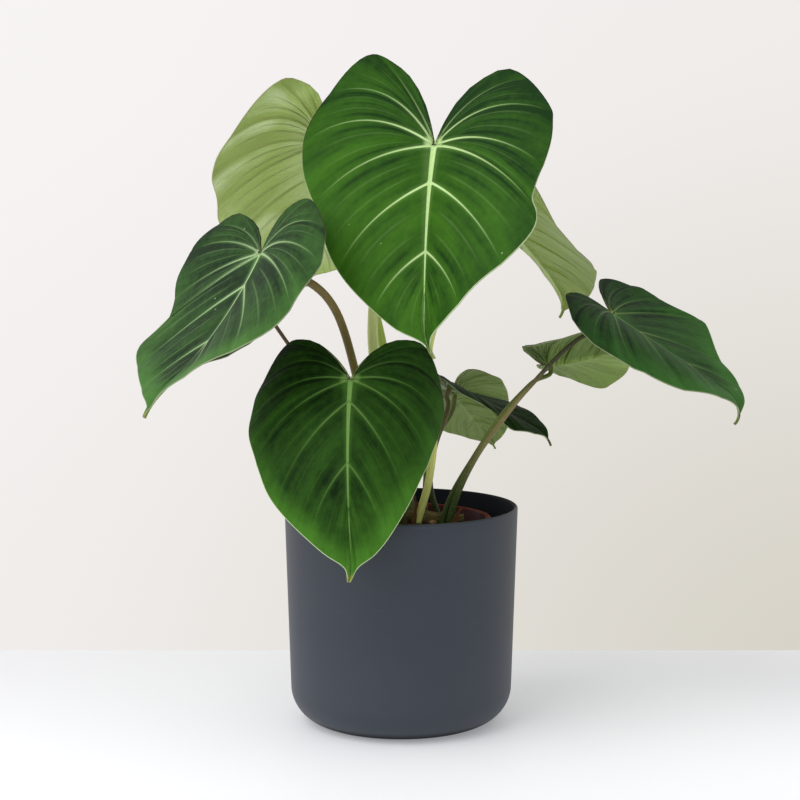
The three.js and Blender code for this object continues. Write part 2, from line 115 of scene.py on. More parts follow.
# A blade's thickness, and how deep its keel and pleats are, as shares of its midrib's length.
BLADE = 0.8
KEEL_SHARE = 0.012
PLEAT_SHARE = 0.012

# Where a petiole stands under the midrib, as a share of its length, how far below the keel its
# end face would lie, and how far it goes on past that, so that it meets the blade.
PETIOLE_SEAT = 0.03
SEAT_GAP = 0.4
PETIOLE_REACH = 1.4
PETIOLE_SIDES = 16
PETIOLE_STEPS = 12
PETIOLE_FLAT = 0.16
PETIOLE_SLIM = 0.93
ROOTED_DEPTH = 28

# The studio: a table top, a window and the camera. Places and sizes are in metres, the lens and
# the sensor in millimetres, the droop in degrees and the power in watts.
FLOOR_WIDTH = 4
FLOOR_FRONT = 2
FLOOR_BACK = 0.224
# How strongly the table top glows, as painted light.
FLOOR_GLOW = 0.29
WINDOW_SPOT = (-2.6, -2.0, 3.0)
WINDOW_AIM = (0, 0, 0.2)
WINDOW_SIZE = 4.0
WINDOW_POWER = 110
CAMERA_SPOT = (-0.0009, -1.4913, 0.4112)
CAMERA_DROOP = 6.18
CAMERA_LENS = 87.84
CAMERA_SENSOR = 36

# One half of a blade's outline, from the sinus round the lobe to the tip: distance from the
# midrib in shares of the half width, and distance along it. Behind the petiole's joint the
# second number is a share of the lobe's length, and before it a share of the midrib's length.
OUTLINE = np.array([
    (0, 0), (0.05, -0.41), (0.18, -0.75), (0.34, -0.92), (0.51, -1.0), (0.69, -0.82),
    (0.85, -0.5), (0.98, -0.1), (0.96, 0.2), (0.83, 0.45), (0.59, 0.68), (0.28, 0.85),
    (0.09, 0.93), (0.03, 0.99), (0, 1),
])
LAST_POINT = len(OUTLINE) - 1


def smooth_slopes(points):
    """The slopes at each point that make a curve through them bend without steps."""
    count = len(points)
    weights = 4 * np.eye(count) + np.eye(count, k=1) + np.eye(count, k=-1)
    weights[0, 0] = weights[-1, -1] = 2
    padded = np.vstack([points[:1], points, points[-1:]])
    return np.linalg.solve(weights, 3 * (padded[2:] - padded[:-2]))


OUTLINE_SLOPES = smooth_slopes(OUTLINE)

# Where each main vein meets the margin, counted along the outline's points, where it leaves the
# midrib, as a share of the midrib's length, and how strongly it shows.
VEIN_MARGINS = (4.2, 6.3, 7.6, 8.6, 9.8, 10.7, 12.2)
VEIN_ORIGINS = (0, 0, 0, 0, 0.18, 0.51, 0.71)
VEIN_STRENGTHS = (0.35, 0.7, 0.95, 0.95, 1, 0.8, 0.12)
ORIGINS = (0, *VEIN_ORIGINS, 1)
# Places along the midrib where the tail slims down, the tip bends and the lower part widens, and
# how far from the midrib, as a share of its length, the whole curl is reached.
TAIL_START = 0.88
TIP_START = 0.75
LOW_START = 0.4
CURL_WIDTH = 0.6
TAIL_SLIMMING = 0.7
# How finely the midrib's bend, the veins and the margin are followed, and where the margin starts.
MIDRIB_STEPS = 16
VEIN_SAMPLES = 41
MARGIN_SAMPLES = 160
FIRST_PLACE = 0.3
# The length of blade that the veins' widths are written for.
USUAL_BLADE = 160

# Where the mesh has its columns between two main veins, closer together beside the veins.
FIRST_COLUMN = 0.08
GAP_COLUMNS = (0.035, 0.09, 0.18, 0.3, 0.43, 0.57, 0.7, 0.82, 0.91, 0.965, 1)
LARGE_BLADE_ROWS = 34
SMALL_BLADE_ROWS = 24
SMALL_BLADE = 100


# The leaves

HALF_COLUMNS = ("width", "lobe", "full", "ripple", "phase", "spread", "low", "fold", "curl")


def half(*measures, **own):
    """One half of a blade: its measures in the order of the columns, and any of its own."""
    plain = dict(zip(HALF_COLUMNS, measures), shift=0, early=1, tail=TAIL_SLIMMING)
    return Record(**(plain | own))


def stalk(radius, hook, base, *path, slim=PETIOLE_SLIM):
    """A petiole: its radius, its hook's length, its foot in the mix and the points it passes."""
    return Record(radius=radius, hook=hook, base=base, path=path, slim=slim)


# A turn is a blade's heading, droop and roll in degrees: where its tip points, from the front
# towards +X, how far it points down, and how far the port half is raised. Port is the half on
# a viewer's left who sees the top face with its tip down. A bend is how far the midrib turns
# down in all, how much more so farther out, under the lobes, and at the tip. A half's widths,
# lobe, ripple and spread of its sinus, and the sweep and hook of the tip, are shares of the
# midrib's length. Full and low widen it at its middle and its lower part, and fold, curl, twist
# and phase are degrees. A shift moves its veins towards the tip, a higher early brings their
# feet nearer to the petiole, and tail is how much its last part slims down. Slim is how wide a
# petiole's upper part is, as a share of its radius.
LEAVES = [
    Record(
        name="front_upper", at=(25, -25, 443), length=174, turn=(-15, 60, -11),
        bend=(7, -11, 11, 34), twist=-10, sweep=-0.09, tip_hook=-0.025,
        port=half(0.595, 0.44, -0.08, 0.027, 24, 0.065, -0.02, 18, 11, shift=-0.9),
        starboard=half(0.605, 0.28, 0.066, 0.03, 80, 0.075, 0.25, 30, 40, shift=1.4),
        petiole=stalk(4.3, 20, (-3, 14), (-10, 14, 217), (-22, 12, 299), (-12, 8, 372),
                      (14, 2, 421)),
    ),
    Record(
        name="front_lower", at=(-37, -78, 273), length=150, turn=(-5, 53, -2),
        bend=(39, -2, 37, -7), twist=6, sweep=-0.035, tip_hook=0.02,
        port=half(0.58, 0.355, 0.06, 0.044, -4, 0.16, -0.075, -5, 40, early=1.25, tail=0.35),
        starboard=half(0.6, 0.33, -0.13, 0.024, 8, 0.11, -0.145, -1, 77, early=1.25, tail=0.35),
        petiole=stalk(3.8, 18, (2, -17), (-6, -24, 190), (-22, -42, 235)),
    ),
    Record(
        name="left", at=(-105, -30, 363), length=155, turn=(-48, 59, -10),
        bend=(-24, -2, 11, 31), twist=-4, sweep=0.024, tip_hook=0,
        port=half(0.605, 0.22, -0.05, 0.082, 0, 0.056, 0.3, 9, 2, shift=1.8, tail=0.3),
        starboard=half(0.6, 0.26, 0.175, 0.055, 89, -0.045, 0.015, 17, 36, tail=0.3),
        petiole=stalk(3.4, 14, (-14, -13), (-27, -10, 228), (-35, -7, 272), (-50, -22, 321),
                      (-66, -33, 340)),
    ),
    Record(
        name="back_left", at=(-60, 66, 446), length=163, turn=(194, 47, 3),
        bend=(4, -10, -9, 8), twist=-16, sweep=0.04, tip_hook=0,
        port=half(0.52, 0.4, 0.02, 0.029, 0, 0, 0.03, 3, 24),
        starboard=half(0.59, 0.455, -0.01, 0.041, 85, -0.02, 0.02, -1, 23),
        petiole=stalk(3.6, 18, (9, 14), (-3, 20, 216), (-16, 24, 298), (-30, 30, 348),
                      (-49, 38, 402)),
    ),
    Record(
        name="back_right", at=(80, 54, 390), length=138, turn=(142, 36, -33),
        bend=(-14, 29, -65, 52), twist=9, sweep=-0.038, tip_hook=0,
        port=half(0.626, 0.48, -0.096, 0.012, -15, 0.038, -0.163, 29, 32),
        starboard=half(0.586, 0.3, 0, 0.029, -8, 0, -0.002, 17, 35),
        petiole=stalk(3, 16, (11.5, -14), (20.5, -14, 186), (25, -11, 220), (25, -8, 252),
                      (21.5, 2, 289), (34, 20, 325), (57, 38, 365)),
    ),
    Record(
        name="right", at=(160, -15, 317), length=132, turn=(71, 33, 2),
        bend=(-10, 18, 4, 95), twist=-1, sweep=0.015, tip_hook=0,
        port=half(0.58, 0.23, 0.12, 0.004, 0, 0.05, 0.13, 9, 41),
        starboard=half(0.61, 0.23, 0.19, 0.098, 162, 0.16, -0.2, 9, -9),
        petiole=stalk(2.8, 12, (36.5, -16), (42, -16, 176), (57, -16, 207.5), (75.5, -15, 233.5),
                      (95, -15, 258.5), (137, -19, 300), slim=0.62),
    ),
    Record(
        name="right_under", at=(115, 32, 274), length=79, turn=(66, -7, 32),
        bend=(-23, 11, 5, 21), twist=7, sweep=0.014, tip_hook=0,
        port=half(0.615, 0.15, 0.07, 0.032, 0, -0.05, 0.03, 21, 60),
        starboard=half(0.66, 0.22, 0.44, 0.04, -78, 0.01, 0.05, 35, 37),
        petiole=stalk(2.2, 5, (31, -13), (38, -11, 176), (56, -7.5, 207), (76.5, -5, 238),
                      (94, 1, 256.5), (103, 9, 263.5), slim=0.8),
    ),
    Record(
        name="inner_back", at=(44, 128, 242), length=78, turn=(144, 36, 12),
        bend=(14, -2, 16, 14), twist=-1, sweep=0.03, tip_hook=0,
        port=half(0.58, 0.34, -0.07, 0.013, 0, 0.12, 0, 8, 2),
        starboard=half(0.6, 0.4, 0, 0.023, 0, 0, 0.02, 4, 25),
        petiole=stalk(2, 12, (19, 22), (19, 30, 180), (21, 44, 197), (25.5, 62, 209),
                      (34, 88, 218)),
    ),
    Record(
        name="inner_right", at=(36, 40, 257), length=97, turn=(89, 22, 11),
        bend=(3, 11, 10, 40), twist=-32, sweep=0, tip_hook=0,
        port=half(0.438, 0.22, -0.025, 0.076, 30, 0, 0.3, 15, 53),
        starboard=half(0.426, 0.25, 0.05, 0.038, -14, 0, 0.064, 9, 25),
        petiole=stalk(2.2, 6, (30.5, 11.5), (24, 10, 174), (22.5, 10, 188), (26.5, 16, 212),
                      (34, 28, 232), (37, 36, 243)),
    ),
    Record(
        name="left_under", at=(-109, 0, 328), length=81, turn=(-41, 47, 0),
        bend=(-1, -28, 10, -24), twist=1, sweep=-0.02, tip_hook=0,
        port=half(0.6, 0.3, 0, 0.03, 0, 0, 0, 9, 20),
        starboard=half(0.59, 0.3, -0.02, 0.03, 8, 0, -0.04, 8, -8),
        petiole=stalk(1.6, 9, (-16, 12), (-20, 14, 201), (-55, 14, 248), (-88, 13, 293)),
    ),
]


# Colours

def paint(red, green, blue):
    """A colour as the shaders take it, from its display levels of 0 to 255."""
    levels = [level / 255 for level in (red, green, blue)]
    bright = [((level + 0.055) / 1.055) ** 2.4 for level in levels]
    linear = [level / 12.92 if level < 0.04 else part for level, part in zip(levels, bright)]
    return (*linear, 1.0)


def colour_value(colour):
    """What a colour socket takes: three display levels are painted, and all else stays."""
    return paint(*colour) if isinstance(colour, tuple) and len(colour) == 3 else colour


def dimmed(levels, shares):
    """A painted colour whose red, green and blue are weakened by their own shares."""
    return (*(part * share for part, share in zip(paint(*levels), shares)), 1.0)


# What most blades look like. Base and glow are how bright the upper face is at the lobes and how
# much brighter its margins are. Lit and rise are painted light: how much brighter the port half
# and the lower half are. Reach is how far the glow comes in from the margin, in millimetres.
# Streaks and mottle are how strongly the face varies along the veins and in specks. Pleat_shade
# and creases are how strongly painted shade darkens it beside the main veins and between
# the fine ones. Minor, strong, halo, border and relief are how strongly the fine veins, the main
# veins, the paler zone beside them, the pale margin and the lower face's veins show. Side_veins
# weakens all veins but the midrib, a higher faint fades them faster, and midrib is its width at
# the petiole. Shaded is painted shade on the lower face's port half, and the second colour of
# under is that of the lower face's painted highlights. A stalk has its colours at the foot,
# halfway and at the blade.
PLAIN_LOOK = dict(
    deep=(32, 64, 26), bright=(66, 112, 46), vein=(150, 190, 110), edge=(96, 94, 52),
    base=0, lit=0, rise=0.2, glow=0.2, reach=26, streaks=0.8, mottle=0.5, bands=0.1, creases=0.2,
    minor=0.2, strong=0.6, halo=0.22, side_veins=1, faint=1.2, midrib=1, border=0.2,
    gloss=0.06, sheen=0.005,
    under=((150, 178, 98), (184, 206, 124)), relief=0.7, shaded=0,
    stalk=((70, 76, 40), (96, 104, 58), (96, 104, 58)),
)
BLADE_LOOKS = {
    "front_upper": dict(
        deep=(22, 54, 16), bright=(62, 110, 26), vein=(198, 230, 156), edge=(48, 42, 28),
        base=-0.05, lit=0.3, rise=0.58, glow=-0.1, streaks=1.4, bands=0.16, creases=0.35,
        minor=0.14, strong=1, faint=0.95, midrib=2.3, border=0.8, sheen=0.012,
        under=((176, 200, 120), (204, 222, 160)),
        stalk=((120, 126, 70), (222, 228, 160), (232, 236, 184)),
    ),
    "front_lower": dict(
        deep=(17, 38, 12), bright=(74, 128, 40), vein=(132, 174, 92), edge=(48, 42, 28),
        base=0.09, lit=-0.12, rise=0.14, glow=0.62, reach=20, streaks=0.5, mottle=0.3,
        creases=0.06, minor=0.08, strong=0.8, halo=0.25, side_veins=0.6, faint=1.6, midrib=1.75,
        border=1, gloss=0.04,
        under=((168, 192, 112), (204, 222, 160)),
        stalk=((74, 76, 38), (100, 96, 52), (96, 92, 50)),
    ),
    "left": dict(
        deep=(24, 46, 22), bright=(72, 118, 50), vein=(176, 206, 150), edge=(58, 56, 40),
        base=0.18, lit=-0.08, rise=0.02, glow=0.75, streaks=0.85, bands=0.13, creases=0.1,
        minor=0.28, strong=0.85, halo=0.42, faint=1.1, midrib=1.1, border=0.3,
        gloss=0.08, sheen=0.02,
        under=((168, 192, 112), (204, 222, 160)),
        stalk=((96, 90, 50), (128, 110, 62), (126, 108, 60)),
    ),
    "back_left": dict(
        vein=(170, 208, 140), strong=0.9, border=0.4, edge=(156, 160, 108),
        under=((180, 207, 112), (226, 244, 180)), relief=1,
        stalk=((96, 110, 56), (184, 204, 104), (112, 136, 66)),
    ),
    "back_right": dict(
        vein=(170, 208, 140), strong=0.9, border=0.3, edge=(170, 174, 116),
        under=((150, 177, 76), (178, 202, 108)), relief=0.35,
        stalk=((240, 242, 142), (232, 236, 142), (204, 208, 124)),
    ),
    "right": dict(
        deep=(14, 37, 13), bright=(56, 103, 40), vein=(134, 164, 92), edge=(48, 46, 28),
        base=0.06, rise=0.4, glow=0.6, streaks=0.85, bands=0.16, minor=0.1, strong=0.8,
        side_veins=0.6, midrib=1.2, gloss=0.04, sheen=0.01,
        # The stalk's top colour is dark with painted shade from its blade.
        stalk=((60, 84, 28), (134, 122, 72), (58, 56, 28)),
    ),
    "right_under": dict(
        under=((122, 152, 64), (146, 174, 86)), shaded=0.6,
        stalk=((52, 78, 26), (112, 124, 52), (96, 108, 46)),
    ),
    "inner_back": dict(under=((112, 138, 60), (134, 160, 76)), relief=0.4),
    "inner_right": dict(
        deep=(22, 40, 15), bright=(40, 66, 27), vein=(86, 122, 60), edge=(96, 112, 66),
        minor=0.1, strong=0.4, border=0.1, gloss=0.02, sheen=0,
        under=((100, 126, 66), (124, 146, 84)),
        stalk=((54, 70, 30), (70, 78, 38), (112, 104, 70)),
    ),
    "left_under": dict(
        deep=(16, 40, 12), bright=(34, 72, 24), vein=(110, 150, 90), edge=(48, 46, 28),
        strong=0.5, border=0.1, under=((100, 124, 70), (124, 146, 84)),
        stalk=((92, 74, 46), (102, 82, 54), (102, 82, 54)),
    ),
}


def look_of(leaf):
    return Record(**(PLAIN_LOOK | BLADE_LOOKS[leaf.name]))


# Shader maths

class Wire:
    """A node's output that arithmetic works on. Each operator adds one Math node."""

    def __init__(self, work, socket):
        self.work = work
        self.socket = socket

    def math(self, operation, other=0.0):
        return self.work.node("ShaderNodeMath", {0: self, 1: other}, operation=operation)

    __add__ = __radd__ = partialmethod(math, "ADD")
    __sub__ = partialmethod(math, "SUBTRACT")
    __mul__ = __rmul__ = partialmethod(math, "MULTIPLY")
    __pow__ = partialmethod(math, "POWER")
    __abs__ = partialmethod(math, "ABSOLUTE")
    fraction = partialmethod(math, "FRACT")

    def __rsub__(self, other):
        return self * -1 + other

    def smooth(self, low, high):
        """0 at low and 1 at high, with soft ends. It falls where low is above high."""
        values = {"Value": self, "From Min": low, "From Max": high}
        return self.work.node("ShaderNodeMapRange", values, interpolation_type="SMOOTHSTEP")


class NodeWork:
    """A node tree in the making."""

    def __init__(self, tree):
        self.tree = tree

    def give(self, socket, value):
        if isinstance(value, Wire):
            self.tree.links.new(value.socket, socket)
        else:
            socket.default_value = value

    def node(self, kind, values=None, output=0, **settings):
        """Adds a node: its settings come first, then the values or links of its sockets."""
        made = self.tree.nodes.new(kind)
        for key, value in settings.items():
            setattr(made, key, value)
        for key, value in (values or {}).items():
            self.give(made.inputs[key], value)
        return Wire(self, made.outputs[output])

    def axis(self, where, name):
        return self.node("ShaderNodeSeparateXYZ", {"Vector": where}, name)

    def blend(self, share, start, end):
        """A colour between two, by a share from 0 to 1."""
        values = {0: share, 6: colour_value(start), 7: colour_value(end)}
        return self.node("ShaderNodeMix", values, 2, data_type="RGBA", clamp_factor=True)


class Finish(NodeWork):
    """A material in the making, whose colour is laid on in layers."""

    def __init__(self, name, gloss, constants=None):
        self.material = bpy.data.materials.new(name)
        self.material.use_nodes = True
        super().__init__(self.material.node_tree)
        self.shader = self.tree.nodes["Principled BSDF"]
        self.colour = None
        self.set({"Specular IOR Level": gloss} | (constants or {}))

    def set(self, values):
        for key, value in values.items():
            self.give(self.shader.inputs[key], value)

    def ground(self, share, start, end):
        """The first layer, a colour between two."""
        self.colour = self.blend(share, start, end)

    def lay(self, share, colour):
        """Lays a colour over the layers so far."""
        self.ground(share, self.colour, colour)

    def done(self, roughness, normal=None):
        """The material with its colour, roughness and bumps wired up."""
        self.set({"Base Color": self.colour, "Roughness": roughness})
        if normal:
            self.set({"Normal": normal})
        return self.material

    def place(self):
        return self.node("ShaderNodeTexCoord", output="Object")

    def reading(self, name, output="Fac"):
        return self.node(
            "ShaderNodeAttribute", {}, output, attribute_type="GEOMETRY", attribute_name=name,
        )

    def readings(self, *names):
        return [self.reading(name) for name in names]

    def spot(self, x, y, z=0.0):
        return self.node("ShaderNodeCombineXYZ", {"X": x, "Y": y, "Z": z})

    def cloud(self, where, scale, detail=2.0, roughness=0.5):
        values = {"Vector": where, "Scale": scale, "Detail": detail, "Roughness": roughness}
        return self.node("ShaderNodeTexNoise", values)

    def cells(self, where, scale, feature="F1"):
        values = {"Vector": where, "Scale": scale}
        return self.node("ShaderNodeTexVoronoi", values, "Distance", feature=feature)

    def stretched(self, where, scale):
        return self.node("ShaderNodeMapping", {"Vector": where, "Scale": scale})

    def bump(self, height, distance, below=None):
        values = {"Height": height, "Distance": distance}
        if below:
            values["Normal"] = below
        return self.node("ShaderNodeBump", values)


# Finishes of the blades

def minor_veins(lane, share, width, start=0.0):
    """The finer veins, two between each pair of main ones. From 0.5 on, the folds between them."""
    between = abs((lane * 3 + (0.5 + start)).fraction() - 0.5) * 2
    return between.smooth(width, 0.0) * share.smooth(0.08, 0.32) * share.smooth(0.96, 0.6)


def vein_net(finish, lane, share):
    """How far a place is from the finest veins, which part the blade into small cells."""
    return finish.cells(finish.spot(lane * 9, share * 13), 1.0, "DISTANCE_TO_EDGE")


def upper_face(name, look):
    """The velvety upper face: dark green between pale veins, brighter towards the margin."""
    finish = Finish(name, look.gloss, {
        "Sheen Weight": look.sheen,
        "Sheen Roughness": 0.35,
        "Sheen Tint": paint(150, 206, 120),
    })
    vein, fade, lane, share, margin, side, down = finish.readings(
        "vein", "fade", "lane", "share", "margin", "side", "down",
    )
    place = finish.place()
    pale = look.vein
    middling = tuple(0.6 * a + 0.4 * b for a, b in zip(paint(*look.bright), paint(*pale)))
    streak = finish.cloud(finish.spot(lane * 3.4, share * 1.3), 1.0, 3.0)
    patch = finish.cloud(place, 22.0)
    mottle = finish.cloud(place, 170.0, 3.0, 0.6)

    glow = margin.smooth(look.reach, 1) * lane.smooth(1.8, 6.4) * look.glow
    # Painted light: the port half and the half towards the tip are brightened, and the face also
    # brightens towards its margin and its tip.
    lit = side.smooth(-0.9, 0.9) * look.lit + lane.smooth(1.0, 5.0) * look.rise
    lit += share.smooth(0.0, 0.8) * 0.12 + lane.smooth(6.7, 7.7) * look.glow * 0.5
    # Painted shade of the pleats, just beyond each main vein towards the tip.
    band = lane.fraction()
    bands = band.smooth(0.0, 0.12) * band.smooth(0.6, 0.15) * share.smooth(0.02, 0.3)
    # Painted shade in the folds between the fine veins.
    creases = minor_veins(lane, share, 0.4, 0.5) * streak.smooth(0.62, 0.42)
    uneven = (streak - 0.5) * look.streaks + (patch - 0.5) * 0.5
    uneven += (mottle - 0.5) * look.mottle
    uneven -= bands * look.bands + creases * look.creases
    finish.ground(lit + glow + uneven + look.base, look.deep, look.bright)

    finish.lay(minor_veins(lane, share, 0.2) * look.minor, middling)
    faded = fade ** look.faint
    finish.lay(vein.smooth(4.2, 0.8) * faded * look.halo, middling)
    finish.lay(vein.smooth(1.15, 0.7) * faded * look.strong, pale)
    finish.lay(margin.smooth(0.7, 0.3) * lane.smooth(2.5, 4.5) * look.border, (196, 214, 164))
    shaded_edge = margin.smooth(1.1, 0.3) * lane.smooth(4, 2.5) * share.smooth(0.1, 0.3)
    finish.lay(shaded_edge * 0.6, (38, 30, 24))
    joint = share.smooth(0.09, 0.04) * lane.smooth(4.1, 3.9)
    finish.lay(joint * look.strong, pale)
    finish.lay(down.smooth(0.95, 0.99) * 0.7, (166, 168, 92))
    flecks = finish.cells(place, 62.0).smooth(0.046, 0.03)
    flecks *= finish.cloud(place, 9.0).smooth(0.52, 0.56)
    finish.lay(flecks * 0.6, (196, 214, 176))

    velvet = finish.cloud(place, 2600.0, 2.0)
    puckers = finish.bump(vein_net(finish, lane, share).smooth(0.0, 0.35), 0.00012)
    pleats = finish.bump(streak, 0.0016, puckers)
    return finish.done(0.46 + velvet * 0.12, finish.bump(velvet, 0.00005, pleats))


def under_face(name, look):
    """The pale lower face, with darker raised veins."""
    finish = Finish(name, 0.4)
    vein, fade, lane, share, margin, side = finish.readings(
        "vein", "fade", "lane", "share", "margin", "side",
    )
    place = finish.place()
    relief = look.relief
    pale, highlight_green = look.under
    deep = dimmed(pale, (0.62, 0.58, 0.45))
    streak = finish.cloud(finish.spot(lane * 3.2, share * 1.1, 4.0), 1.0, 3.0)
    patch = finish.cloud(place, 18.0)
    minor = minor_veins(lane, share, 0.3) * relief
    band = lane.fraction()
    # The ground varies in noise, and the second half of each space between main veins is darkened
    # with painted shade.
    shade = (streak - 0.45) * 1.4 + (patch - 0.5) * 0.6 + band.smooth(0.45, 0.9) * 0.35
    finish.ground(shade * relief, pale, deep)
    # Painted light on the first part of each space between main veins, painted highlights in
    # patches and along streaks, and a paler zone near the midrib.
    lit = band.smooth(0.02, 0.2) * band.smooth(0.75, 0.3) * share.smooth(0.05, 0.4)
    light = lit * patch.smooth(0.35, 0.65) * relief + streak.smooth(0.5, 0.3) * 0.3
    finish.lay(light + share.smooth(0.45, 0.1) * relief * 0.4, highlight_green)
    finish.lay(minor * 0.3, deep)
    finish.lay(vein.smooth(5.0, 0.5) * fade * share.smooth(0.05, 0.4) * relief * 0.36, deep)
    finish.lay(vein.smooth(1.6, 0.5) * fade * relief * 0.32, deep)
    net = vein_net(finish, lane, share)
    finish.lay(net.smooth(0.1, 0.0) * 0.12, deep)
    # Painted shade over the port half.
    finish.lay(side.smooth(0.0, 0.12) * look.shaded, dimmed(pale, (0.3, 0.34, 0.26)))
    finish.lay(margin.smooth(1.2, 0.4) * 0.4, (168, 160, 112))

    grain = finish.cloud(place, 1800.0, 2.0)
    ribs = finish.bump(minor + streak * 5, 0.001, finish.bump(net.smooth(0.3, 0.0), 0.00012))
    return finish.done(0.36 + grain * 0.14, finish.bump(grain, 0.00004, ribs))


def blade_edge(name, look):
    """The thin edge all round, paler on the lower half and plain at the tail and the sinus."""
    finish = Finish(name, 0.3)
    lane, down, share = finish.readings("lane", "down", "share")
    mottle = finish.cloud(finish.place(), 300.0)
    pale = finish.blend(mottle, (176, 194, 138), (206, 218, 176))
    finish.ground(mottle * 0.5, look.edge, (96, 104, 60))
    finish.lay(lane.smooth(1.6, 3.2) * (0.35 + 0.6 * look.border), pale)
    finish.lay((down.smooth(0.93, 0.97) + share.smooth(0.12, 0.04)) * 0.8, (146, 152, 86))
    return finish.done(0.5)


def stalk_finish(name, look):
    """A petiole's skin: streaked along its length, with small pale flecks."""
    finish = Finish(name, 0.35)
    along = finish.reading("along")
    grain = finish.reading("grain", "Vector")
    foot, middle, top = look.stalk
    streak = finish.cloud(finish.stretched(grain, (0.9, 0.9, 0.05)), 1.0, 3.0)
    finish.ground(along.smooth(0.15, 0.5), foot, middle)
    finish.lay(along.smooth(0.56, 0.74), top)
    finish.lay((streak - 0.42) * 1.6, finish.blend(0.4, finish.colour, (30, 34, 12)))
    fleck = finish.cells(finish.stretched(grain, (1.0, 1.0, 0.22)), 0.8).smooth(0.2, 0.1)
    finish.lay(fleck * 0.3, (204, 208, 156))
    finish.lay(along.smooth(0.06, 0.0) * 0.7, (104, 74, 44))
    return finish.done(0.36 + streak * 0.2, finish.bump(streak, 0.0005))


# Finishes of the pots, the mix and the stem

def cover_pot_finish():
    """Matte anthracite plastic with a fine moulded grain."""
    finish = Finish("anthracite_plastic", 0.5)
    place = finish.place()
    height = finish.axis(place, "Z")
    # A painted contact shadow, near black in the lowest few millimetres above the table.
    foot = height.smooth(0.009, 0.003)
    patch = finish.cloud(place, 14.0, 3.0)
    grain = finish.cloud(place, 2200.0, 2.0)
    scuffs = finish.cloud(finish.stretched(place, (60.0, 60.0, 420.0)), 1.0, 4.0)
    scuffs = scuffs.smooth(0.66, 0.78)
    finish.ground(patch, (38, 46, 57), (45, 53, 64))
    finish.lay(scuffs * 0.12, (104, 112, 122))
    # Painted light from the pale table: lighter low down.
    finish.lay(height.smooth(0.09, 0.03) * 0.3, (58, 65, 74))
    finish.lay(foot, (8, 9, 12))
    roughness = 0.47 + patch * 0.08 + scuffs * 0.08 + foot * 0.4
    return finish.done(roughness, finish.bump(grain, 0.00004))


def shaded_pot_inside_finish():
    """The same plastic inside, darkened with painted shade and dusted with mix low down."""
    finish = Finish("anthracite_inside_painted_shade", 0.12)
    place = finish.place()
    dust = finish.cloud(place, 70.0, 5.0, 0.6).smooth(0.5, 0.75)
    dust *= finish.axis(place, "Z").smooth(0.16, 0.12)
    grain = finish.cloud(place, 2200.0, 2.0)
    finish.ground(grain, (18, 21, 29), (24, 27, 35))
    finish.lay(dust * 0.5, (58, 46, 36))
    return finish.done(0.6 + dust * 0.2, finish.bump(grain, 0.00004))


def nursery_pot_finish():
    """Thin red-brown plastic, dusty with mix and with a painted highlight on its rim."""
    finish = Finish("red_brown_plastic", 0.08)
    place = finish.place()
    dust = finish.cloud(place, 60.0, 5.0, 0.65).smooth(0.45, 0.7)
    grain = finish.cloud(place, 900.0)
    finish.ground(grain, (50, 15, 12), (62, 21, 16))
    finish.lay(dust * 0.4, (52, 31, 22))
    # A painted highlight along the top of the rim.
    finish.lay(finish.axis(place, "Z").smooth(0.1572, 0.1586), (104, 34, 27))
    return finish.done(0.42 + dust * 0.3, finish.bump(grain, 0.00006))


def mix_finish():
    """Moist fibre between the chips."""
    finish = Finish("mix_fibre", 0.2)
    place = finish.place()
    crumbs = finish.cells(place, 420.0)
    fibre = finish.cloud(place, 190.0, 8.0, 0.7)
    finish.ground(fibre.smooth(0.3, 0.7), (26, 17, 11), (74, 50, 32))
    finish.lay(crumbs.smooth(0.5, 0.1) * 0.35, (104, 74, 48))
    lumps = finish.bump(crumbs, 0.0012, finish.bump(fibre, 0.002))
    return finish.done(0.8 + fibre * 0.15, lumps)


def chip_finish():
    """Bark, coir and tan bits: each chip has its own tone."""
    finish = Finish("mix_chips", 0.25)
    tone = finish.reading("tone")
    streaks = finish.stretched(finish.place(), (160.0, 520.0, 300.0))
    grain = finish.cloud(streaks, 1.0, 6.0, 0.65)
    finish.ground(tone.smooth(0.0, 0.55), (44, 28, 19), (110, 66, 40))
    finish.lay(tone.smooth(0.6, 0.95), (196, 164, 120))
    finish.lay((grain - 0.4) * 1.4, (38, 25, 18))
    return finish.done(0.7 + grain * 0.25, finish.bump(grain, 0.0009))


def rhizome_finish():
    """Corky stem with a streaked bark."""
    finish = Finish("corky_stem", 0.25)
    streaks = finish.stretched(finish.place(), (90.0, 300.0, 300.0))
    bark = finish.cloud(streaks, 1.0, 5.0, 0.6)
    finish.ground(bark.smooth(0.3, 0.7), (62, 50, 28), (120, 104, 62))
    return finish.done(0.66 + bark * 0.2, finish.bump(bark, 0.001))


def sheath_finish():
    """Dry papery sheath."""
    finish = Finish("papery_sheath", 0.3)
    along, across = finish.readings("along", "across")
    nerve = finish.cloud(finish.spot(across * 14, along * 1.5), 1.0, 3.0)
    finish.ground(nerve.smooth(0.3, 0.7), (84, 46, 28), (146, 96, 60))
    return finish.done(0.5 + nerve * 0.2, finish.bump(nerve, 0.0006))


# Mesh helpers

def placed(name, data):
    """An object of the scene that holds some data."""
    made = bpy.data.objects.new(name, data)
    bpy.context.scene.collection.objects.link(made)
    return made


def mesh_from(shape, name):
    """The mesh of a shape that is ready."""
    mesh = bpy.data.meshes.new(name)
    shape.to_mesh(mesh)
    shape.free()
    return mesh


def finished(mesh, name, replaced=(), materials=(), smooth=True):
    """A piece from a mesh, riding on the one body."""
    if smooth:
        mesh.shade_smooth()
    piece = placed(name, mesh)
    for material in materials:
        mesh.materials.append(material)
    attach(piece, "root")
    if replaced:
        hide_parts(*replaced)
    return piece


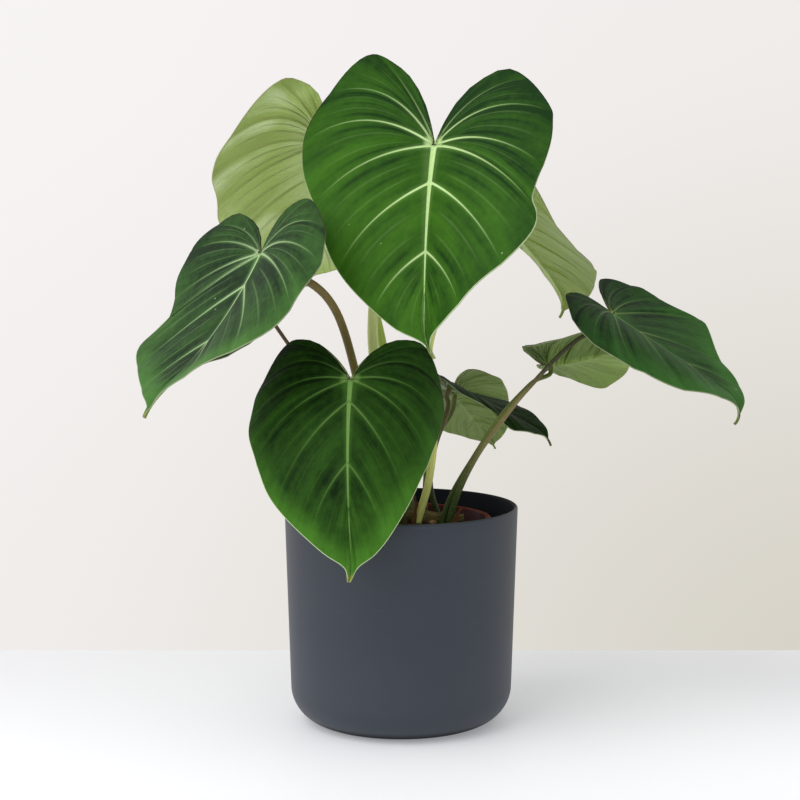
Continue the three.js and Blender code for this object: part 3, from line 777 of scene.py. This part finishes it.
def thicken(piece, thickness, offset):
    """Gives a sheet its thickness, in millimetres. Offset is -1 for all of it below the sheet."""
    wall = piece.modifiers.new("wall", "SOLIDIFY")
    wall.thickness = thickness * MM
    wall.offset = offset
    return wall


def sharpen(piece):
    """Keeps the corners of a smooth-shaded piece crisp."""
    corners = piece.modifiers.new("corners", "BEVEL")
    corners.width = CORNER_WIDTH * MM
    corners.segments = 2
    corners.limit_method = "ANGLE"
    corners.angle_limit = radians(CORNER_ANGLE)
    corners.harden_normals = True


def laid_grid(name, columns, rows, lay, closed=False):
    """A mesh from a grid whose points lay() puts in place, in millimetres.

    lay takes each point's column and row, and returns its place and its named readings.
    """
    shape = bmesh.new()
    bmesh.ops.create_grid(shape, x_segments=columns, y_segments=rows, size=0.5)
    mesh = mesh_from(shape, name)
    flat = np.empty(3 * len(mesh.vertices), np.float32)
    mesh.vertices.foreach_get("co", flat)
    cells = np.rint((flat.reshape(-1, 3)[:, :2] + 0.5) * (columns, rows)).astype(int)
    places, readings = lay(cells[:, 0], cells[:, 1])
    mesh.vertices.foreach_set("co", np.ravel(places * MM).astype(np.float32))
    for key, values in readings.items():
        kind, slot = ("FLOAT", "value") if values.ndim == 1 else ("FLOAT_VECTOR", "vector")
        layer = mesh.attributes.new(key, kind, "POINT")
        layer.data.foreach_set(slot, np.ravel(values).astype(np.float32))
    shape = bmesh.new()
    shape.from_mesh(mesh)
    bmesh.ops.remove_doubles(shape, verts=shape.verts, dist=GRID_MERGE * MM)
    if closed:
        bmesh.ops.recalc_face_normals(shape, faces=shape.faces)
    else:
        bmesh.ops.reverse_faces(shape, faces=shape.faces)
    shape.to_mesh(mesh)
    shape.free()
    return mesh


def turned(name, profile):
    """A mesh from a profile of (radius, height) points in millimetres, spun about the axis."""
    shape = bmesh.new()
    points = [shape.verts.new((radius * MM, 0, height * MM)) for radius, height in profile]
    edges = [shape.edges.new(pair) for pair in zip(points, points[1:])]
    bmesh.ops.spin(
        shape,
        geom=points + edges,
        cent=(0, 0, 0),
        axis=(0, 0, 1),
        angle=2 * pi,
        steps=POT_STEPS,
        use_merge=True,
    )
    bmesh.ops.remove_doubles(shape, verts=shape.verts, dist=POT_MERGE * MM)
    bmesh.ops.recalc_face_normals(shape, faces=shape.faces)
    return mesh_from(shape, name)


# The blades

def unit(values):
    return np.clip(values, 0, 1)


def eased(start, end, leave, arrive, part):
    """A point between two, on the curve that leaves and arrives with given slopes."""
    point = start + leave * part
    point = point + (3 * (end - start) - 2 * leave - arrive) * part**2
    return point + (2 * (start - end) + leave + arrive) * part**3


def outline_at(leaf_half, place):
    """A point of the flat margin: its distance from the midrib, and its distance along it."""
    first = np.minimum(np.floor(place).astype(int), LAST_POINT - 1)
    part = (place - first)[:, None]
    start, end = OUTLINE[first], OUTLINE[first + 1]
    point = eased(start, end, OUTLINE_SLOPES[first], OUTLINE_SLOPES[first + 1], part)
    x, y = np.maximum(point[:, 0], 0), point[:, 1]
    along = unit(y)
    ripple = leaf_half.ripple * np.sin(radians(leaf_half.phase) + 4 * pi * along)
    w = x * leaf_half.width * (1 + (leaf_half.full + ripple) * np.sin(pi * along))
    low = unit((y - LOW_START) / (1 - LOW_START))
    w *= 1 + leaf_half.low * np.sin(pi * low)
    w += leaf_half.spread * unit(-y) * (1 - x)
    tail = unit((y - TAIL_START) / (1 - TAIL_START) * 1.6)
    w *= 1 - leaf_half.tail * tail * tail * (3 - 2 * tail)
    return w, np.where(y < 0, y * leaf_half.lobe, y)


def vein_places(leaf_half):
    """Where the half's main veins meet the margin. Its shift moves them all towards the tip."""
    shift = leaf_half.shift
    last = VEIN_MARGINS[-1]
    return [0, *(place + shift * (1 - place / last) for place in VEIN_MARGINS), LAST_POINT]


def flat_point(leaf_half, place, share):
    """A point of the flat half blade. The veins arch, so the way to the margin is a curve."""
    start = np.interp(place, vein_places(leaf_half), np.power(ORIGINS, leaf_half.early))
    edge_w, edge_s = outline_at(leaf_half, place)
    arch = 0.46 * np.exp(-(((place - 6.1) / 2.1) ** 2)) * (leaf_half.lobe / 0.4)
    middle_w = np.clip(0.25 + 0.07 * (place - 3), 0.2, 0.7) * edge_w
    middle_s = start + 0.4 * (edge_s - start) - arch * edge_w
    a, b, c = (1 - share) ** 2, 2 * share * (1 - share), share**2
    return b * middle_w + c * edge_w, a * start + b * middle_s + c * edge_s


def midrib_turn(leaf, s):
    """How far the midrib has turned down at a distance along it, in radians."""
    tip = unit((s - TIP_START) / (1 - TIP_START)) ** 2
    bend, bend_more, lobe_bend, tip_bend = leaf.bend
    ahead = bend * s + bend_more * s**2 + tip_bend * tip
    return np.radians(np.where(s < 0, lobe_bend * s, ahead))


def midrib_point(leaf, s):
    """How far the midrib has come ahead and up at a distance along it."""
    turns = [midrib_turn(leaf, s * (k + 0.5) / MIDRIB_STEPS) for k in range(MIDRIB_STEPS)]
    ahead = sum(np.cos(turn) for turn in turns) * s / MIDRIB_STEPS
    return ahead, -sum(np.sin(turn) for turn in turns) * s / MIDRIB_STEPS


def leaf_axes(leaf):
    """The blade's own axes as columns: across, along and up."""
    heading, droop, roll = (radians(turn) for turn in leaf.turn)
    ahead, aside = sin(heading), -cos(heading)
    along = np.array([cos(droop) * ahead, cos(droop) * aside, -sin(droop)])
    up = np.array([sin(droop) * ahead, sin(droop) * aside, cos(droop)])
    rolled = np.array([
        (cos(roll), 0, -sin(roll)), (0, 1, 0), (sin(roll), 0, cos(roll)),
    ])
    return np.column_stack([np.cross(along, up), along, up]) @ rolled


def half_of(leaf, side):
    return leaf.port if side > 0 else leaf.starboard


def bent_point(leaf, side, w, s, rise=0.0):
    """A point of the bent blade in millimetres. Side is 1 for port and -1 for starboard."""
    leaf_half = half_of(leaf, side)
    fold = radians(leaf_half.fold)
    curl = radians(leaf_half.curl) / CURL_WIDTH
    out = side * (sin(fold) - np.sin(fold - curl * w)) / curl
    lift = (np.cos(fold - curl * w) - cos(fold)) / curl + rise
    twist = radians(leaf.twist) * s
    x = out * np.cos(twist) - lift * np.sin(twist) + leaf.sweep * np.maximum(s, 0) ** 2
    x += leaf.tip_hook * unit((s - TAIL_START) / (1 - TAIL_START)) ** 2
    n = out * np.sin(twist) + lift * np.cos(twist)
    turn = midrib_turn(leaf, s)
    y, z = midrib_point(leaf, s)
    bent = np.column_stack([x, y + n * np.sin(turn), z + n * np.cos(turn)])
    return bent * leaf.length @ leaf_axes(leaf).T + leaf.at


def distance_to_way(points, way):
    """How far flat points are from a polyline, and how far along it their nearest places are."""
    start, step = way[:-1], np.diff(way, axis=0)
    offset = points[:, None] - start
    part = unit((offset * step).sum(2) / np.maximum((step**2).sum(1), 1e-12))
    gaps = np.linalg.norm(offset - part[..., None] * step, axis=2)
    nearest = gaps.argmin(1)
    rows = np.arange(len(points))
    return gaps[rows, nearest], (nearest + part[rows, nearest]) / len(step)


def vein_readings(leaf, leaf_half, w, s):
    """For flat points: closeness to a main vein, that vein's strength, and the rib below.

    Closeness is 0 on the vein's middle and 1 at its edge. The rib is in millimetres.
    """
    length, look = leaf.length, look_of(leaf)
    size = length / USUAL_BLADE
    points = np.column_stack([w, s])
    ahead = np.maximum(s, 0)
    half_width = (0.4 + look.midrib * (1 - unit(ahead)) ** 2.2) * size
    gap = length * np.hypot(w, np.minimum(s, 0))
    vein = gap / half_width
    fade = 1 - 0.35 * unit(ahead)
    rib = KEEL_SHARE * length * (1 - unit(s)) * np.exp(-((gap / (1.5 + half_width * 0.5)) ** 2))
    shares = np.linspace(0, 1, VEIN_SAMPLES)
    for place, own_strength in zip(vein_places(leaf_half)[1:-1], VEIN_STRENGTHS):
        way = np.column_stack(flat_point(leaf_half, np.full(VEIN_SAMPLES, place), shares))
        gap, along = distance_to_way(points, way)
        gap = gap * length
        near = gap / ((0.28 + 0.72 * (1 - along) ** 1.6) * size**0.5)
        strength = own_strength * look.side_veins * unit((0.95 - along) / 0.8) ** 1.2
        closer = near < vein
        vein = np.where(closer, near, vein)
        fade = np.where(closer, strength, fade)
        rib = np.maximum(rib, 0.55 * strength * np.exp(-((gap / 0.9) ** 2)))
    return vein, fade, rib


def blade_mesh(leaf):
    """The upper face as a fine sheet, with the readings that its finish follows."""
    gaps = range(len(ORIGINS) - 1)
    lanes = [FIRST_COLUMN, *(gap + part for gap in gaps for part in GAP_COLUMNS)]
    lanes = np.array([lane for lane in lanes if lane >= FIRST_COLUMN])
    half_columns = len(lanes) - 1
    rows = SMALL_BLADE_ROWS if leaf.length < SMALL_BLADE else LARGE_BLADE_ROWS
    columns = 2 * half_columns

    def lay(column, row):
        port = column <= half_columns
        lane = lanes[np.where(port, column, columns - column)]
        step = row / rows
        share = step**1.6 * (1 - step) + (1 - (1 - step) ** 1.6) * step
        part = lane - np.ceil(lane) + 1
        spots = np.empty((len(column), 3))
        readings = {key: np.empty(len(column)) for key in ("vein", "fade", "rib", "margin", "down")}
        for side, chosen in ((1, port), (-1, ~port)):
            leaf_half = half_of(leaf, side)
            stops = vein_places(leaf_half)
            place = np.interp(lane[chosen], range(len(stops)), stops)
            own_share = share[chosen]
            w, s = flat_point(leaf_half, place, own_share)
            vein, fade, rib = vein_readings(leaf, leaf_half, w, s)
            arched = np.sin(pi * part[chosen])
            pleat = PLEAT_SHARE * arched * own_share * (1.5 - 0.8 * own_share)
            groove = 0.3 * fade * np.exp(-(vein**2)) * unit(own_share * 12) / leaf.length
            spots[chosen] = bent_point(leaf, side, w, s, pleat - groove)
            places = np.linspace(FIRST_PLACE, LAST_POINT, MARGIN_SAMPLES)
            edge = np.column_stack(outline_at(leaf_half, places))
            margin = distance_to_way(np.column_stack([w, s]), edge)[0] * leaf.length
            for key, values in zip(readings, (vein, fade, rib, margin, unit(s))):
                readings[key][chosen] = values
        readings["lane"] = lane
        readings["share"] = share
        readings["side"] = np.where(port, share, -share)
        return spots, readings

    return laid_grid("blade_" + leaf.name, columns, rows, lay)


def add_blade(leaf):
    """A blade with its three finishes: upper face, lower face and edge."""
    name, look = leaf.name, look_of(leaf)
    mesh = blade_mesh(leaf)
    ribs = np.empty(len(mesh.vertices), np.float32)
    mesh.attributes["rib"].data.foreach_get("value", ribs)
    materials = [
        upper_face(name + "_upper_face", look),
        under_face(name + "_lower_face", look),
        blade_edge(name + "_edge", look),
    ]
    piece = finished(mesh, "blade_" + name, ["leaf_" + name], materials)
    thickest = BLADE + float(ribs.max())
    group = piece.vertex_groups.new(name="thickness")
    for index, rib in enumerate(ribs):
        group.add([index], float((BLADE + rib) / thickest), "REPLACE")
    wall = thicken(piece, thickest, -1)
    wall.vertex_group = group.name
    wall.material_offset = 1
    wall.material_offset_rim = 2


# The petioles

def petiole_way(leaf):
    """The petiole's middle line from the mix into the blade, as (x, y, z) in millimetres."""
    own = leaf.petiole
    seat, ahead = bent_point(leaf, 1, np.zeros(2), np.array([PETIOLE_SEAT, PETIOLE_SEAT + 0.05]))
    beside, at_seat = np.array([0.05]), np.array([PETIOLE_SEAT])
    left, right = (bent_point(leaf, side, beside, at_seat)[0] for side in (1, -1))
    up = np.cross(left - right, ahead - seat)
    up /= np.linalg.norm(up)
    end = seat - up * (BLADE + KEEL_SHARE * leaf.length * (1 - PETIOLE_SEAT) + SEAT_GAP)
    x, y = own.base
    points = np.array([
        (x, y, MIX_CROWN - ROOTED_DEPTH), (x, y, MIX_CROWN - 4), *own.path,
        end - up * own.hook, end,
    ])
    return np.vstack([spline_way(points), end + up * PETIOLE_REACH])


def spline_way(points):
    """A centripetal Catmull-Rom curve through points."""
    padded = np.vstack([2 * points[0] - points[1], points, 2 * points[-1] - points[-2]])
    way = []
    for k in range(len(points) - 1):
        a, b, c, d = padded[k:k + 4]
        before, here, after = (np.linalg.norm(step) ** 0.5 for step in (b - a, c - b, d - c))
        leave = ((b - a) / before - (c - a) / (before + here) + (c - b) / here) * here
        arrive = ((c - b) / here - (d - b) / (here + after) + (d - c) / after) * here
        way += [eased(b, c, leave, arrive, step / PETIOLE_STEPS) for step in range(PETIOLE_STEPS)]
    return np.array(way + [points[-1]])


def carried_frames(way):
    """Two side directions at each point of a way, carried along it without turning."""
    ahead = np.gradient(way, axis=0)
    ahead /= np.linalg.norm(ahead, axis=1)[:, None]
    side = np.cross(ahead[0], (0, 1, 0))
    sides = []
    for direction in ahead:
        side = side - direction * (side @ direction)
        side = side / np.linalg.norm(side)
        sides.append(side)
    sides = np.array(sides)
    return sides, np.cross(ahead, sides)


def tube(name, way, radii, around, flat=0.0):
    """A closed tube along a way. Flat takes that share off one side, as a petiole's face."""
    sides, fronts = carried_frames(way)
    reach = np.concatenate([[0], np.cumsum(np.linalg.norm(np.diff(way, axis=0), axis=1))])
    rows = len(way) + 1

    def lay(column, row):
        turn = 2 * pi * (column % around) / around
        station = np.clip(row - 1, 0, len(way) - 1)
        capped = (row == 0) | (row == rows)
        size = np.where(capped, 0, radii[station])
        face = 1 - flat * unit(np.cos(turn)) ** 2
        x, y = size * face * np.cos(turn), size * np.sin(turn)
        spots = way[station] + x[:, None] * fronts[station] + y[:, None] * sides[station]
        return spots, {
            "along": reach[station] / reach[-1],
            "grain": np.column_stack([x, y, reach[station]]),
        }

    return laid_grid(name, around, rows, lay, closed=True)


def add_petiole(leaf):
    """A petiole that is widest in the mix and slims down to its upper part."""
    name, own = leaf.name, leaf.petiole
    slim = own.slim
    way = petiole_way(leaf)
    places = (0, 0.12, 0.3, 0.5, 0.9, 0.965, 1)
    widths = (1.08, 1.04, (1 + slim) / 2, slim, slim, 1.1 * slim, 0.8)
    taper = np.interp(np.linspace(0, 1, len(way)), places, widths)
    mesh = tube("petiole_" + name, way, own.radius * taper, PETIOLE_SIDES, PETIOLE_FLAT)
    material = stalk_finish(name + "_petiole", look_of(leaf))
    finished(mesh, "stalk_" + name, ["petiole_" + name], [material])


# The pots

def arc(radius, height, size, turns):
    """Points of a circle, given by its middle, its size and the turns from straight out."""
    return [(radius + size * cos(turn), height + size * sin(turn)) for turn in turns]


def round_corner(radius, height, size, steps):
    """A quarter circle from the foot out to the wall."""
    return arc(radius - size, height + size, size, np.linspace(-pi / 2, 0, steps + 1))


def add_cover_pot():
    """The outer pot: a rounded foot, a slightly flared wall, a round rim and a ring inside."""
    lip = COVER_WALL / 2
    rim_turns = np.linspace(0, pi, RIM_STEPS + 1)
    rim = arc(COVER_RIM_RADIUS - lip, COVER_HEIGHT - lip, lip, rim_turns)
    wall_heights = (COVER_FOOT_ROUND, rim[0][1])
    wall = [
        (np.interp(height, wall_heights, (COVER_FOOT_RADIUS, COVER_RIM_RADIUS)), height)
        for height in np.linspace(*wall_heights, WALL_RINGS + 2)[1:-1]
    ]
    inner_radius, inner_round = COVER_FOOT_RADIUS - COVER_WALL, COVER_FOOT_ROUND - COVER_WALL
    inside = round_corner(inner_radius, COVER_FLOOR, inner_round, INSIDE_FOOT_STEPS)
    ring_top = COVER_FLOOR + STAND_RING_HEIGHT
    ring_inner, ring_outer = (STAND_RING_RADIUS + side * STAND_RING_WIDTH / 2 for side in (-1, 1))
    profile = [
        (0, 0),
        *round_corner(COVER_FOOT_RADIUS, 0, COVER_FOOT_ROUND, FOOT_STEPS),
        *wall,
        *rim,
        *reversed(inside),
        (ring_outer, COVER_FLOOR),
        (ring_outer, ring_top - STAND_RING_CHAMFER),
        (ring_outer - STAND_RING_CHAMFER, ring_top),
        (ring_inner + STAND_RING_CHAMFER, ring_top),
        (ring_inner, ring_top - STAND_RING_CHAMFER),
        (ring_inner, COVER_FLOOR),
        (0, COVER_FLOOR),
    ]
    mesh = turned("cover_pot_shell", profile)
    # Inward faces above the foot round take the inside finish, darkened with painted shade.
    for face in mesh.polygons:
        x, y, z = face.center
        inward = face.normal.x * x + face.normal.y * y < 0
        face.material_index = int(inward and z > COVER_FOOT_ROUND * MM)
    materials = [cover_pot_finish(), shaded_pot_inside_finish()]
    sharpen(finished(mesh, "cover_pot_shell", ["cover_pot"], materials))


def add_nursery_pot():
    """The thin inner pot: a merged copy of the frame's, smooth-shaded with crisp corners."""
    shape = bmesh.new()
    shape.from_mesh(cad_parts["nursery_pot"].data)
    bmesh.ops.remove_doubles(shape, verts=shape.verts, dist=POT_MERGE * MM)
    mesh = mesh_from(shape, "nursery_pot_wall")
    mesh.materials.clear()
    materials = [nursery_pot_finish()]
    sharpen(finished(mesh, "nursery_pot_wall", ["nursery_pot"], materials))


# The mix and the stem

def lump(x, y):
    """A random rise or fall of the mix's surface, in millimetres."""
    broad = noise.noise(Vector((x / 9, y / 9, 3)))
    return 1.6 * broad + 0.9 * noise.noise(Vector((x / 3.5, y / 3.5, 7)))


def add_mix():
    """The body of the mix, with a lumpy top."""
    top = np.linspace(MIX_EDGE_RADIUS - MIX_WALL_GAP, 0, MIX_RINGS)
    side_radii, side_heights = MIX_SIDE
    radii = np.array([*side_radii, *top])
    heights = np.array([*side_heights, *(np.interp(top, *MIX_SURFACE) - MIX_SINK)])

    def lay(column, row):
        turn = 2 * pi * (column % MIX_STEPS) / MIX_STEPS
        x, y, z = radii[row] * np.cos(turn), radii[row] * np.sin(turn), heights[row]
        upper = (row > len(side_radii)) & (radii[row] < MIX_EDGE_RADIUS - 1)
        lumps = [lump(a, b) for a, b in zip(x, y)]
        return np.column_stack([x, y, z + np.where(upper, lumps, 0)]), {}

    mesh = laid_grid("mix_body", MIX_STEPS, len(radii) - 1, lay, closed=True)
    finished(mesh, "mix_body", ["potting_mix"], [mix_finish()])


def add_chips():
    """Bark and coir chips lying on the mix, each with its own size, turn and tone."""
    draw = random.Random(CHIP_SEED)
    shape = bmesh.new()
    tone = shape.verts.layers.float.new("tone")
    for _ in range(MIX_CHIPS):
        radius = (MIX_EDGE_RADIUS - 4) * sqrt(draw.random())
        turn = draw.uniform(0, 2 * pi)
        size = draw.uniform(*CHIP_SIZES)
        height = float(np.interp(radius, *MIX_SURFACE)) - MIX_SINK + draw.uniform(0, 1) * size * 0.4
        spot = Vector((radius * cos(turn), radius * sin(turn), height)) * MM
        tilt = Matrix.Rotation(draw.uniform(-CHIP_TILT, CHIP_TILT), 4, "X")
        tilt @= Matrix.Rotation(draw.uniform(-CHIP_TILT, CHIP_TILT), 4, "Y")
        spun = Matrix.Rotation(draw.uniform(0, pi), 4, "Z")
        wide = Matrix.Diagonal((1, draw.uniform(0.5, 0.9), draw.uniform(0.3, 0.6), 1))
        matrix = Matrix.Translation(spot) @ tilt @ spun @ wide @ Matrix.Scale(size * MM, 4)
        made = bmesh.ops.create_icosphere(shape, subdivisions=1, radius=1, matrix=matrix)
        own_tone = draw.random() ** 1.7
        for corner in made["verts"]:
            push = draw.uniform(-CHIP_ROUGHNESS, CHIP_ROUGHNESS) * size * MM
            corner.co += (corner.co - spot).normalized() * push
            corner[tone] = own_tone
    mesh = mesh_from(shape, "mix_chips")
    finished(mesh, "mix_chips", (), [chip_finish()], smooth=False)


def add_rhizome():
    """The creeping stem with its ring scars, half sunk in the mix."""
    along = np.linspace(0.02, 0.98, 8 * RHIZOME_RINGS + 1)
    start, end = ((*spot, MIX_CROWN) for spot in RHIZOME_ENDS)
    way = start + np.subtract(end, start) * along[:, None]
    rounded = np.sin(pi * np.clip(along, 0.06, 0.94)) ** 0.25
    scars = RHIZOME_SCAR * np.cos(2 * pi * RHIZOME_RINGS * along)
    mesh = tube("stem", way, (RHIZOME_RADIUS + scars) * rounded, RHIZOME_SIDES)
    finished(mesh, "creeping_stem", ["rhizome"], [rhizome_finish()])


def sheath_mesh(name, facing, tall):
    """A thin scale that wraps one side of a petiole's foot and narrows to its tip."""
    own = next(leaf for leaf in LEAVES if leaf.name == name).petiole
    first = own.path[0]
    lean = (np.array(first[:2]) - own.base) / (first[2] - MIX_CROWN)

    def lay(column, row):
        across, along = column / SHEATH_COLUMNS - 0.5, row / SHEATH_ROWS
        turn = radians(facing) + across * (2.3 * (1 - along**1.8) + 0.08)
        away = own.radius * 1.08 + 0.8 + 2.6 * along**2 + 0.4 * np.cos(9 * across)
        x = own.base[0] + lean[0] * along * tall + away * np.cos(turn)
        y = own.base[1] + lean[1] * along * tall + away * np.sin(turn)
        spots = np.column_stack([x, y, MIX_CROWN - 3 + along * tall])
        return spots, {"along": along, "across": across}

    return laid_grid("sheath_" + name, SHEATH_COLUMNS, SHEATH_ROWS, lay)


def add_sheaths():
    material = sheath_finish()
    for name, facing, tall in SHEATHS:
        mesh = sheath_mesh(name, facing, tall)
        thicken(finished(mesh, "sheath_" + name, (), [material]), SHEATH, 0)


# The studio

def add_floor():
    """A plain pale table top glowing with painted light; the wall behind is given by the world."""
    shape = bmesh.new()
    bmesh.ops.create_grid(shape, x_segments=1, y_segments=1, size=0.5)
    depth, middle = FLOOR_FRONT + FLOOR_BACK, (FLOOR_BACK - FLOOR_FRONT) / 2
    bmesh.ops.scale(shape, vec=(FLOOR_WIDTH, depth, 1), verts=shape.verts)
    bmesh.ops.translate(shape, vec=(0, middle, 0), verts=shape.verts)
    mesh = mesh_from(shape, "table_top")
    floor = placed("table_top", mesh)
    finish = Finish("pale_table", 0.3, {"Emission Strength": FLOOR_GLOW})
    place = finish.place()
    # Painted light: the glow is brighter towards the front.
    front = finish.axis(place, "Y").smooth(FLOOR_BACK, -0.16)
    finish.set({"Emission Color": finish.blend(front, (170, 171, 174), (250, 251, 255))})
    finish.ground(finish.cloud(place, 3.0), (218, 219, 221), (224, 225, 227))
    mesh.materials.append(finish.done(0.6))


def add_world():
    """A pale wall that darkens to the right and low down, and a dimmer room before it."""
    world = bpy.data.worlds.new("studio")
    world.use_nodes = True
    bpy.context.scene.world = world
    work = NodeWork(world.node_tree)
    direction = work.node("ShaderNodeTexCoord", output="Generated")
    x, y, z = (work.axis(direction, name) for name in "XYZ")
    right, low = x.smooth(-0.25, 0.25), z.smooth(0.1, -0.25)
    dim = right * 0.25 + low * 0.2 + right * low * 0.55
    wall = work.blend(dim, (247, 244, 244), (214, 210, 199))
    background = world.node_tree.nodes["Background"]
    work.give(background.inputs["Color"], work.blend(y.smooth(0.2, -0.5), wall, (198, 200, 204)))
    background.inputs["Strength"].default_value = 1.0


def add_window():
    """One large soft lamp, up at the left before the plant."""
    light = bpy.data.lights.new("window", "AREA")
    light.shape = "SQUARE"
    light.size = WINDOW_SIZE
    light.energy = WINDOW_POWER
    light.color = (1.0, 0.99, 0.98)
    lamp = placed("window", light)
    lamp.location = WINDOW_SPOT
    aim = Vector(WINDOW_AIM) - Vector(WINDOW_SPOT)
    lamp.rotation_euler = aim.to_track_quat("-Z", "Y").to_euler()


def add_camera():
    lens = bpy.data.cameras.new("camera")
    lens.lens = CAMERA_LENS
    lens.sensor_width = CAMERA_SENSOR
    camera = placed("camera", lens)
    camera.location = CAMERA_SPOT
    camera.rotation_euler = (radians(90 - CAMERA_DROOP), 0, 0)
    bpy.context.scene.camera = camera


# Building

for leaf in LEAVES:
    add_blade(leaf)
    add_petiole(leaf)
add_cover_pot()
add_nursery_pot()
add_mix()
add_chips()
add_rhizome()
add_sheaths()

add_floor()
add_world()
add_window()
add_camera()
bpy.context.scene.view_settings.view_transform = "Standard"
